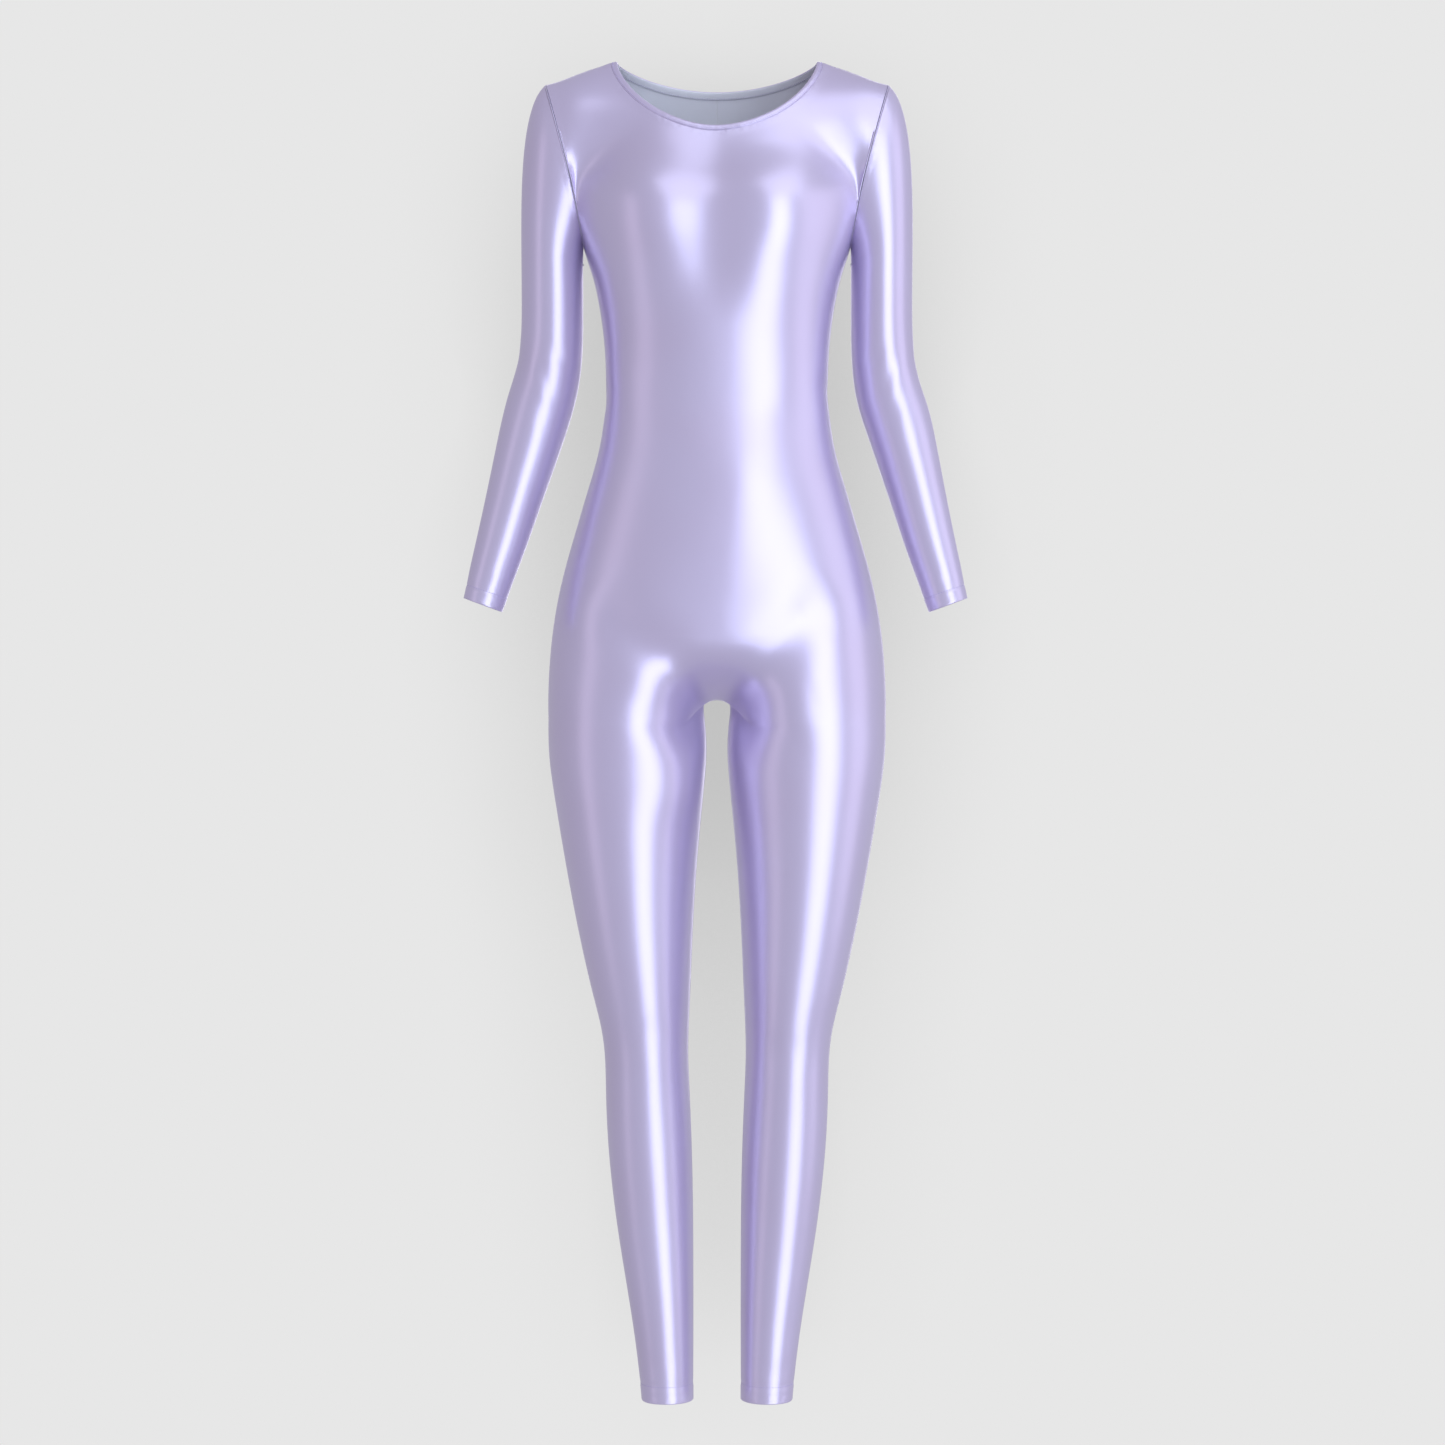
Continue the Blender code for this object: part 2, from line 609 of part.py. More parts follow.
def wall_mesh(name, sheet, facing, thickness, centred=False, mirror=1.0):
    """Make a sheet into a wall: its outer face, an inner face and the rims between them.

    facing holds each point's direction outwards and thickness its wall. A centred wall is left open on
    the plane X = 0 for a Mirror modifier, and mirror -1 turns the wall to the other side.
    """
    outer = drawn_in(sheet, facing, centred)
    inner = outer - facing * thickness[:, None]
    if centred:
        on_plane = np.abs(np.array(sheet.points)[:, 0]) < ON_PLANE
        inner[on_plane, 0] = 0.0
    side = np.array([mirror, 1.0, 1.0]) * MM
    mesh = bmesh.new()
    outer_verts = [mesh.verts.new(point * side) for point in outer]
    inner_verts = [mesh.verts.new(point * side) for point in inner]
    for face in sheet.faces:
        turned = face[:1] + face[:0:-1]
        outwards, inwards = (face, turned) if mirror > 0 else (turned, face)
        mesh.faces.new([outer_verts[i] for i in outwards])
        mesh.faces.new([inner_verts[i] for i in inwards])
    for start, end in border_edges(sheet):
        if centred and on_plane[start] and on_plane[end]:
            continue
        rim = [outer_verts[end], outer_verts[start], inner_verts[start], inner_verts[end]]
        mesh.faces.new(rim if mirror > 0 else rim[::-1])
    data = bpy.data.meshes.new(name)
    mesh.to_mesh(data)
    mesh.free()
    data.shade_smooth()
    data.set_sharp_from_angle(angle=np.radians(SHARP_ANGLE))
    return data


def cloth_material(name, colour, roughness):
    """Make the shiny stretch cloth's plain material."""
    material = bpy.data.materials.new(name)
    material.use_nodes = True
    shader = material.node_tree.nodes["Principled BSDF"]
    shader.inputs["Base Color"].default_value = colour
    shader.inputs["Roughness"].default_value = roughness
    shader.inputs["Metallic"].default_value = 0.3
    return material


def place(data, collection, material):
    """Put a mesh into the suit's collection as an object of its own name."""
    data.materials.append(material)
    item = bpy.data.objects.new(data.name, data)
    collection.objects.link(item)
    return item


def mirror_over_centre(item):
    """Close a half that is open at the plane X = 0 with its mirrored half."""
    mirror = item.modifiers.new("Mirror", "MIRROR")
    mirror.use_axis = (True, False, False)
    mirror.use_clip = True
    mirror.merge_threshold = MERGE_DISTANCE


def body_thickness(sheet):
    """Give the wall at each point of the body, doubled towards the ankle hem."""
    heights = np.array(sheet.points)[:, 2]
    hem_top = LEVELS[-1].z + ANKLE_HEM_DEPTH
    return np.where(heights < hem_top + 1.0, HEM_WALL, WALL)


def pick_normals(sheet, table):
    """Read a sheet's facings from the whole body's table, so neighbours share them at a seam."""
    facing = np.zeros((len(sheet.points), 3))
    for key, number in sheet.index.items():
        facing[number] = table[key]
    return facing


def shared_at_armhole(body_facing, sleeve_facing, body_sheet, sleeve_sheet):
    """Let body and sleeve share a facing where the armhole seam folds outwards."""
    half = UNDERARM_SPLITS + ARMHOLE_SPLITS
    step = np.array([SLEEVE_STEP, 0.0, 0.0])
    for facing in (-1.0, 1.0):
        for swing in np.linspace(np.pi, 0.0, half + 1):
            place_on_seam = bust(armhole_point(swing, facing)[None])[0]
            body_number = body_sheet.index.get(place_key(place_on_seam))
            sleeve_number = sleeve_sheet.index.get(place_key(armhole_point(swing, facing) + step))
            if body_number is None or sleeve_number is None:
                continue
            if sleeve_facing[sleeve_number][0] > body_facing[body_number][0]:
                both = unit(body_facing[body_number] + sleeve_facing[sleeve_number])
                body_facing[body_number] = both
                sleeve_facing[sleeve_number] = both


def neck_binding(front_yoke, back_yoke, table, collection, material):
    """Make the binding: a strip folded over the neck edge, its turn lying inside the panels."""
    front = front_yoke[:3].transpose(1, 0, 2)
    back = back_yoke[:3].transpose(1, 0, 2)[::-1][1:]
    stations = np.concatenate([front, back])
    inner_face = -(WALL + BIND_EASE)
    lining_face = inner_face - BIND_SHEET
    fold = 0.3
    profile = (
        (BIND_FACE, BIND_EASE),
        (1.2, BIND_EASE),
        (fold, BIND_EASE - 0.4),
        (0.0, (BIND_EASE + lining_face) / 2),
        (fold, lining_face + 0.4),
        (1.2, lining_face),
        (BIND_TURN, lining_face),
        (BIND_TURN, inner_face),
        (BIND_FACE, inner_face),
    )
    rings = []
    for column in stations:
        facing = np.array([table[place_key(point)] for point in column])
        reach = np.concatenate([[0.0], np.cumsum(np.linalg.norm(np.diff(column, axis=0), axis=1))])
        ring = []
        for down, out in profile:
            at = np.array([np.interp(down, reach, column[:, axis]) for axis in range(3)])
            way = unit([np.interp(down, reach, facing[:, axis]) for axis in range(3)])
            ring.append(at + way * out)
        rings.append(ring)
    rings = np.array(rings)
    rings[0, :, 0] = 0.0
    rings[-1, :, 0] = 0.0
    mesh = bmesh.new()
    verts = [[mesh.verts.new(point * MM) for point in ring] for ring in rings]
    count = len(profile)
    for near, far in zip(verts, verts[1:]):
        for i in range(count):
            after = (i + 1) % count
            mesh.faces.new([near[i], far[i], far[after], near[after]])
    data = bpy.data.meshes.new("neck_binding")
    mesh.to_mesh(data)
    mesh.free()
    data.shade_smooth()
    data.set_sharp_from_angle(angle=np.radians(SHARP_ANGLE))
    mirror_over_centre(place(data, collection, material))


def build():
    """Build every piece of the suit."""
    for item in list(bpy.data.objects):
        bpy.data.objects.remove(item, do_unlink=True)
    collection = bpy.data.collections.new("full_body_spandex_suit")
    bpy.context.scene.collection.children.link(collection)
    cloth = {
        name: cloth_material(f"lilac_spandex_{name}", LILAC, 0.32)
        for name in ("front", "back_left", "back_right", "sleeve_left", "sleeve_right", "neck_binding")
    }

    whole, front, back, front_yoke, back_yoke = body_sheets()
    whole_facing = whole.normals(mirrored=True)

    sleeves = {}
    for side in SLEEVES:
        sheet = Sheet()
        sheet.add_grid(sleeve_grid(side), flip=True, closed=True)
        sleeves[side.name] = (side, sheet, sheet.normals(mirrored=False))
    for _, sheet, facing in sleeves.values():
        shared_at_armhole(whole_facing, facing, whole, sheet)
    table = {key: whole_facing[number] for key, number in whole.index.items()}

    data = wall_mesh("front", front, pick_normals(front, table), body_thickness(front), centred=True)
    mirror_over_centre(place(data, collection, cloth["front"]))
    for name, mirror in (("back_left", 1.0), ("back_right", -1.0)):
        data = wall_mesh(name, back, pick_normals(back, table), body_thickness(back), mirror=mirror)
        place(data, collection, cloth[name])

    for name, (side, sheet, facing) in sleeves.items():
        numbers = np.arange(len(sheet.points))
        ring_size = 2 * (UNDERARM_SPLITS + ARMHOLE_SPLITS)
        in_hem = numbers >= len(numbers) - CUFF_HEM_RINGS * ring_size
        thickness = np.where(in_hem, HEM_WALL, WALL)
        place(wall_mesh(name, sheet, facing, thickness, mirror=side.mirror), collection, cloth[name])

    neck_binding(front_yoke, back_yoke, table, collection, cloth["neck_binding"])


build()
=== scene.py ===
"""Looks of a full body spandex suit, filled out and open at the neck, the cuffs and the ankles.

Every cloth piece is a thin wall on one smooth form. The form is a coarse cage drawn from short tables of
real sizes, refined by Catmull-Clark rounds so that the shine runs unbroken over the seams. Sizes are in
millimetres until a mesh is made. The suit's front faces -Y and the wearer's left is towards +X.
"""

import logging
from collections import namedtuple
from dataclasses import dataclass, field
from enum import Enum

import bpy
import numpy as np
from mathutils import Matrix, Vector


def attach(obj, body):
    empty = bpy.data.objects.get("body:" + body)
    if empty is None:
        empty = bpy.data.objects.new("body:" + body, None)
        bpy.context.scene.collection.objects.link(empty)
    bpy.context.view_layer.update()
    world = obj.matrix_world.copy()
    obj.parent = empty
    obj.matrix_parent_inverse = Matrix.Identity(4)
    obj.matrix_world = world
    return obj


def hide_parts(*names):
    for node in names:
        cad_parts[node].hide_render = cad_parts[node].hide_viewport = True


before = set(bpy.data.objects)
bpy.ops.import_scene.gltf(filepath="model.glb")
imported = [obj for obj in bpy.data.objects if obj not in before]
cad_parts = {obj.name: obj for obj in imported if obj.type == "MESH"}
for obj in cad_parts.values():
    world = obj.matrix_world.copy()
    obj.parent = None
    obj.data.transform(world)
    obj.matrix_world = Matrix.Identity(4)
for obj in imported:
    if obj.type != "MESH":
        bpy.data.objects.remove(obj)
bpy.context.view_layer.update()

LOG = logging.getLogger("spandex_suit")
MM = 0.001
ON_PLANE = 0.001

Level = namedtuple("Level", "z side_x side_y front_x front_y back_x back_y")
LEVELS = (
    Level(-160.0, 151.0, 4.0, 0.0, -115.0, 0.0, 101.0),
    Level(-193.0, 138.6, 3.0, 0.0, -114.0, 0.0, 98.0),
    Level(-237.0, 125.5, 1.0, 0.0, -108.0, 0.0, 90.0),
    Level(-280.0, 118.0, 0.0, 0.0, -100.0, 0.0, 81.0),
    Level(-340.0, 115.3, -1.0, 0.0, -91.0, 0.0, 75.0),
    Level(-404.0, 122.0, 0.0, 4.0, -95.0, 8.0, 83.0),
    Level(-445.0, 134.0, 1.0, 8.0, -100.0, 18.0, 93.0),
    Level(-487.0, 146.0, 3.0, 14.0, -103.0, 30.0, 104.0),
    Level(-528.0, 158.0, 5.0, 26.0, -104.0, 43.0, 113.0),
    Level(-570.0, 167.0, 6.0, 45.0, -103.0, 58.0, 118.0),
    Level(-612.0, 172.6, 7.0, 66.0, -100.0, 73.0, 118.0),
    Level(-653.0, 175.0, 7.0, 83.0, -97.0, 85.0, 111.0),
    Level(-684.0, 175.0, 6.0, 90.0, -96.0, 91.0, 102.0),
    Level(-720.0, 174.0, 4.0, 92.0, -95.5, 92.0, 92.0),
    Level(-778.0, 166.0, 1.0, 91.0, -93.0, 91.0, 80.0),
    Level(-840.0, 155.5, -1.0, 89.0, -87.0, 89.0, 70.0),
    Level(-903.0, 143.5, -1.0, 85.0, -79.0, 85.0, 61.0),
    Level(-965.0, 130.0, 0.0, 79.0, -70.0, 79.0, 53.5),
    Level(-996.0, 121.5, 1.0, 76.0, -65.0, 76.0, 50.5),
    Level(-1028.0, 116.5, 3.0, 74.0, -60.0, 74.0, 51.0),
    Level(-1090.0, 115.0, 6.0, 72.0, -51.0, 72.0, 59.0),
    Level(-1152.0, 110.5, 8.0, 68.5, -45.0, 68.5, 62.0),
    Level(-1215.0, 103.0, 8.0, 64.0, -40.0, 64.0, 57.0),
    Level(-1277.0, 93.0, 6.0, 59.0, -36.0, 59.0, 48.5),
    Level(-1340.0, 83.0, 4.0, 54.0, -33.0, 54.0, 40.5),
    Level(-1391.0, 78.0, 3.0, 51.5, -31.0, 51.5, 37.0),
)

Inseam = namedtuple("Inseam", "z x y side_z turn reach")
ARCH = (
    Inseam(-661.0, 0.0, 2.0, -684.0, 32.0, 27.0),
    Inseam(-662.5, 7.0, 2.0, -689.0, 48.0, 31.0),
    Inseam(-667.0, 11.4, 2.0, -697.0, 64.0, 36.0),
    Inseam(-676.0, 12.8, 2.0, -707.0, 77.0, 41.0),
    Inseam(-691.0, 12.0, 2.0, -719.0, 86.0, 47.0),
    Inseam(-714.0, 11.4, 2.0, -734.0, 90.0, 51.0),
)
ANKLE_HEM = 14.0
LEG_INSEAM = (
    Inseam(-745.0, 13.0, 1.0, -753.0, 90.0, 0.0),
    Inseam(-778.0, 16.0, 1.0, -778.0, 90.0, 0.0),
    Inseam(-840.0, 22.0, 0.0, -840.0, 90.0, 0.0),
    Inseam(-903.0, 25.5, 0.0, -903.0, 90.0, 0.0),
    Inseam(-965.0, 28.0, 1.0, -965.0, 90.0, 0.0),
    Inseam(-1000.0, 29.6, 2.0, -1000.0, 90.0, 0.0),
    Inseam(-1035.0, 30.5, 3.0, -1035.0, 90.0, 0.0),
    Inseam(-1075.0, 28.6, 5.0, -1075.0, 90.0, 0.0),
    Inseam(-1120.0, 27.0, 7.0, -1120.0, 90.0, 0.0),
    Inseam(-1165.0, 25.8, 8.0, -1165.0, 90.0, 0.0),
    Inseam(-1215.0, 25.2, 8.0, -1215.0, 90.0, 0.0),
    Inseam(-1270.0, 25.0, 6.0, -1270.0, 90.0, 0.0),
    Inseam(-1325.0, 25.0, 4.0, -1325.0, 90.0, 0.0),
    Inseam(-1391.0 + ANKLE_HEM, 25.0, 3.0, -1391.0 + ANKLE_HEM, 90.0, 0.0),
    Inseam(-1391.0, 25.0, 3.0, -1391.0, 90.0, 0.0),
)

Ring = namedtuple("Ring", "x y z half_width half_depth tilt")
SLEEVE_RINGS = (
    Ring(171.5, 4.0, -215.0, 32.0, 43.0, 0.0),
    Ring(171.4, 6.0, -250.0, 32.0, 42.5, 0.0),
    Ring(171.8, 8.5, -280.0, 32.2, 42.0, 2.0),
    Ring(173.6, 10.5, -305.0, 33.0, 41.5, 5.0),
    Ring(177.6, 10.5, -330.0, 34.0, 41.0, 9.0),
    Ring(184.0, 8.5, -355.0, 34.8, 40.5, 12.5),
    Ring(192.2, 4.5, -385.0, 33.8, 39.0, 15.0),
    Ring(201.5, -1.0, -420.0, 31.5, 36.5, 15.5),
    Ring(212.2, -9.0, -460.0, 28.6, 33.0, 16.0),
    Ring(223.0, -17.0, -500.0, 26.0, 29.5, 16.5),
    Ring(233.1, -23.0, -535.0, 23.4, 26.8, 17.5),
    Ring(237.6, -26.0, -552.0, 22.0, 25.6, 18.5),
    Ring(241.7, -28.0, -566.0, 20.9, 24.8, 20.0),
)


def smoothstep(value: np.ndarray) -> np.ndarray:
    """Ease a value from 0 to 1 with no slope at either end."""
    held = np.clip(value, 0.0, 1.0)
    return held * held * (3.0 - 2.0 * held)


def unit(vectors: np.ndarray) -> np.ndarray:
    """Give vectors of length one along the last axis."""
    vectors = np.asarray(vectors, dtype=float)
    return vectors / np.maximum(np.linalg.norm(vectors, axis=-1, keepdims=True), 1e-12)


def smooth_column(heights: tuple[float, ...], values: tuple[float, ...], wanted: float) -> float:
    """Read one column of a table at a height, along a smooth cubic through its rows.

    Args:
        heights: The table's heights, falling.
        values: The column's value at each height.
        wanted: The height to read at.

    Returns:
        The column's value there.
    """
    rising_z, rising_v = np.asarray(heights)[::-1], np.asarray(values)[::-1]
    slopes = np.gradient(rising_v, rising_z)
    wanted = np.clip(wanted, rising_z[0], rising_z[-1])
    low = int(np.clip(np.searchsorted(rising_z, wanted) - 1, 0, len(rising_z) - 2))
    span = rising_z[low + 1] - rising_z[low]
    t = (wanted - rising_z[low]) / span
    start = rising_v[low] * (1 + 2 * t) * (1 - t) ** 2 + slopes[low] * span * t * (1 - t) ** 2
    end = rising_v[low + 1] * t * t * (3 - 2 * t) + slopes[low + 1] * span * t * t * (t - 1)
    return start + end


def level_at(z: float) -> Level:
    """Read every column of the body table at one height."""
    heights, *columns = zip(*LEVELS)
    return Level(z, *(smooth_column(heights, column, z) for column in columns))


def hermite(
    start: np.ndarray, leave: np.ndarray, end: np.ndarray, arrive: np.ndarray, t: np.ndarray
) -> np.ndarray:
    """Give points on a cubic that leaves start and meets end with the given slopes.

    Args:
        start: The first point.
        leave: The slope at the first point.
        end: The last point.
        arrive: The slope at the last point.
        t: Shares of the way, from 0 to 1.

    Returns:
        One point for each share.
    """
    t = np.asarray(t, dtype=float)[..., None]
    return (
        start * (1 + 2 * t) * (1 - t) ** 2
        + leave * t * (1 - t) ** 2
        + end * t * t * (3 - 2 * t)
        + arrive * t * t * (t - 1)
    )


def spaced(points: np.ndarray, count: int) -> np.ndarray:
    """Place count + 1 points at even steps along a dense line of points.

    Args:
        points: The dense line.
        count: How many steps to make.

    Returns:
        The evenly placed points.
    """
    steps = np.linalg.norm(np.diff(points, axis=0), axis=1)
    travelled = np.concatenate([[0.0], np.cumsum(steps)])
    wanted = np.linspace(0.0, travelled[-1], count + 1)
    return np.stack([np.interp(wanted, travelled, points[:, axis]) for axis in range(3)], axis=1)


def place_key(point: np.ndarray) -> tuple:
    """Give a point's place as a key that coinciding points share."""
    return tuple(np.round(point, 3) + 0.0)


def walked(quads: np.ndarray) -> np.ndarray:
    """Give the four edges of each quad, in the way round it."""
    return np.stack([quads, np.roll(quads, -1, axis=1)], axis=2).reshape(-1, 2)


class Panel(Enum):
    """The cloth piece that a stretch of the form belongs to."""

    NECK_BINDING = 0
    FRONT = 1
    BACK_LEFT = 2
    BACK_RIGHT = 3
    SLEEVE_LEFT = 4
    SLEEVE_RIGHT = 5


class Zone(Enum):
    """What a stretch of a cloth piece is: plain cloth or the doubled hem."""

    PLAIN = 0
    HEM = 1


class Surface:
    """An open surface of quads, each with its cloth piece and zone."""

    def __init__(self, points: np.ndarray, quads: np.ndarray, panels: np.ndarray, zones: np.ndarray) -> None:
        """Keep the points, the quads and what each quad belongs to.

        Args:
            points: Places, in millimetres.
            quads: Four point numbers for each quad.
            panels: The cloth piece of each quad.
            zones: The zone of each quad.
        """
        self.points = np.asarray(points, dtype=float)
        self.quads = np.asarray(quads, dtype=int)
        self.panels = np.asarray(panels, dtype=int)
        self.zones = np.asarray(zones, dtype=int)
        pairs = np.sort(walked(self.quads), axis=1)
        self.edges, inverse, counts = np.unique(pairs, axis=0, return_inverse=True, return_counts=True)
        self.quad_edges = inverse.reshape(-1, 4)
        self.on_border = counts == 1

    def gathered(self, places: np.ndarray, values: np.ndarray) -> np.ndarray:
        """Add values up at the points that places number.

        Args:
            places: A point number for each value.
            values: The values to add.

        Returns:
            The sum at each point.
        """
        total = np.zeros((len(self.points),) + values.shape[1:])
        np.add.at(total, places, values)
        return total

    def neighbours(self, chosen: np.ndarray) -> tuple[np.ndarray, np.ndarray]:
        """Give, at each point, the sum of its neighbours along the chosen edges, and their count.

        Args:
            chosen: Which edges count.

        Returns:
            The summed places and the counts, one for each point.
        """
        start, end = self.edges[chosen].T
        places = np.concatenate([start, end])
        total = self.gathered(places, self.points[np.concatenate([end, start])])
        return total, self.gathered(places, np.ones(len(places)))

    def walked_border(self) -> np.ndarray:
        """Give the border's edges, in the way round the quads that they end."""
        return walked(self.quads)[self.on_border[self.quad_edges.ravel()]]

    def refined(self) -> "Surface":
        """Give the surface after one Catmull-Clark round, with its borders as smooth curves.

        Returns:
            The finer surface.
        """
        face = self.points[self.quads].mean(axis=1)
        middle = self.points[self.edges].mean(axis=1)
        beside = np.zeros_like(middle)
        np.add.at(beside, self.quad_edges.ravel(), np.repeat(face, 4, axis=0))
        edge = np.where(self.on_border[:, None], middle, (2.0 * middle + beside) / 4.0)

        every = np.ones(len(self.edges), dtype=bool)
        around, valence = self.neighbours(every)
        valence = np.maximum(valence, 1.0)[:, None]
        faces = self.gathered(self.quads.ravel(), np.repeat(face, 4, axis=0)) / valence
        rims = (around + valence * self.points) / (2.0 * valence)
        inner = (faces + 2.0 * rims + (valence - 3.0) * self.points) / valence
        along, count = self.neighbours(self.on_border)
        border = (along + 6.0 * self.points) / 8.0
        vertex = np.where((count > 0)[:, None], border, inner)

        first_edge, first_face = len(vertex), len(vertex) + len(edge)
        centre = first_face + np.arange(len(self.quads))
        quads = [
            np.stack(
                [
                    self.quads[:, corner],
                    first_edge + self.quad_edges[:, corner],
                    centre,
                    first_edge + self.quad_edges[:, corner - 1],
                ],
                axis=1,
            )
            for corner in range(4)
        ]
        quads = np.stack(quads, axis=1).reshape(-1, 4)
        points = np.concatenate([vertex, edge, face])
        return Surface(points, quads, np.repeat(self.panels, 4), np.repeat(self.zones, 4))

    def limit(self) -> np.ndarray:
        """Give the place that each point would reach after endless rounds.

        Returns:
            One place for each point.
        """
        every = np.ones(len(self.edges), dtype=bool)
        around, valence = self.neighbours(every)
        valence = np.maximum(valence, 1.0)[:, None]
        opposite = self.points[np.roll(self.quads, 2, axis=1)].reshape(-1, 3)
        across = self.gathered(self.quads.ravel(), opposite)
        inner = (valence**2 * self.points + 4.0 * around + across) / (valence * (valence + 5.0))
        along, count = self.neighbours(self.on_border)
        border = (along + 4.0 * self.points) / 6.0
        return np.where((count > 0)[:, None], border, inner)

    def through_its_points(self, rounds: int = 3) -> "Surface":
        """Give the cage whose smooth surface runs through this surface's points.

        Args:
            rounds: How often the cage is corrected.

        Returns:
            The corrected cage.
        """
        cage = Surface(self.points, self.quads, self.panels, self.zones)
        for _ in range(rounds):
            cage.points = cage.points + (self.points - cage.limit())
        return cage

    def normals(self) -> np.ndarray:
        """Give each point's direction outwards.

        Returns:
            One direction of length one for each point.
        """
        corners = self.points[self.quads]
        facing = np.cross(corners[:, 2] - corners[:, 0], corners[:, 3] - corners[:, 1])
        return unit(self.gathered(self.quads.ravel(), np.repeat(facing, 4, axis=0)))

    def smooth_steps(self, rounds: int) -> tuple["Surface", "Surface"]:
        """Give the last two refinements of the cage, both laid on its smooth surface.

        Args:
            rounds: How many refinements to make.

        Returns:
            The last but one and the last.
        """
        coarse = self
        for _ in range(rounds - 1):
            coarse = coarse.refined()
        fine = coarse.refined()
        laid = Surface(coarse.limit(), coarse.quads, coarse.panels, coarse.zones)
        return laid, Surface(fine.limit(), fine.quads, fine.panels, fine.zones)


class Sheet:
    """An open sheet of quads whose points are shared where they coincide."""

    def __init__(self) -> None:
        """Start with no points and no quads."""
        self.points: list[np.ndarray] = []
        self.quads: list[list[int]] = []
        self.panels: list[int] = []
        self.zones: list[int] = []
        self.index: dict[tuple, int] = {}

    def add_point(self, point: np.ndarray) -> int:
        """Give the number of the sheet's point at this place, added when it is new.

        Args:
            point: The place.

        Returns:
            The point's number.
        """
        key = place_key(point)
        if key not in self.index:
            self.index[key] = len(self.points)
            self.points.append(np.array(point, dtype=float))
        return self.index[key]

    def add_grid(
        self, grid: np.ndarray, panel: Panel, flip: bool = False,
        closed: bool = False, bound: bool = False, hem: int = 0,
    ) -> None:
        """Lay a grid's quads.

        Args:
            grid: Rows of points.
            panel: The cloth piece of the quads.
            flip: Turn the quads over.
            closed: Join the last column to the first.
            bound: The first row of quads belongs to the neck binding.
            hem: How many of the last rows of quads are hem.
        """
        numbers = [[self.add_point(point) for point in row] for row in grid]
        width = len(numbers[0])
        rows = len(numbers) - 1
        for row in range(rows):
            upper, lower = numbers[row], numbers[row + 1]
            for column in range(width if closed else width - 1):
                right = (column + 1) % width
                quad = [upper[column], lower[column], lower[right], upper[right]]
                self.quads.append(quad[:1] + quad[:0:-1] if flip else quad)
                self.panels.append(Panel.NECK_BINDING.value if bound and row == 0 else panel.value)
                self.zones.append(Zone.HEM.value if row >= rows - hem else Zone.PLAIN.value)

    def surface(self) -> Surface:
        """Give the sheet as a surface."""
        columns = (self.points, self.quads, self.panels, self.zones)
        return Surface(*(np.array(column) for column in columns))


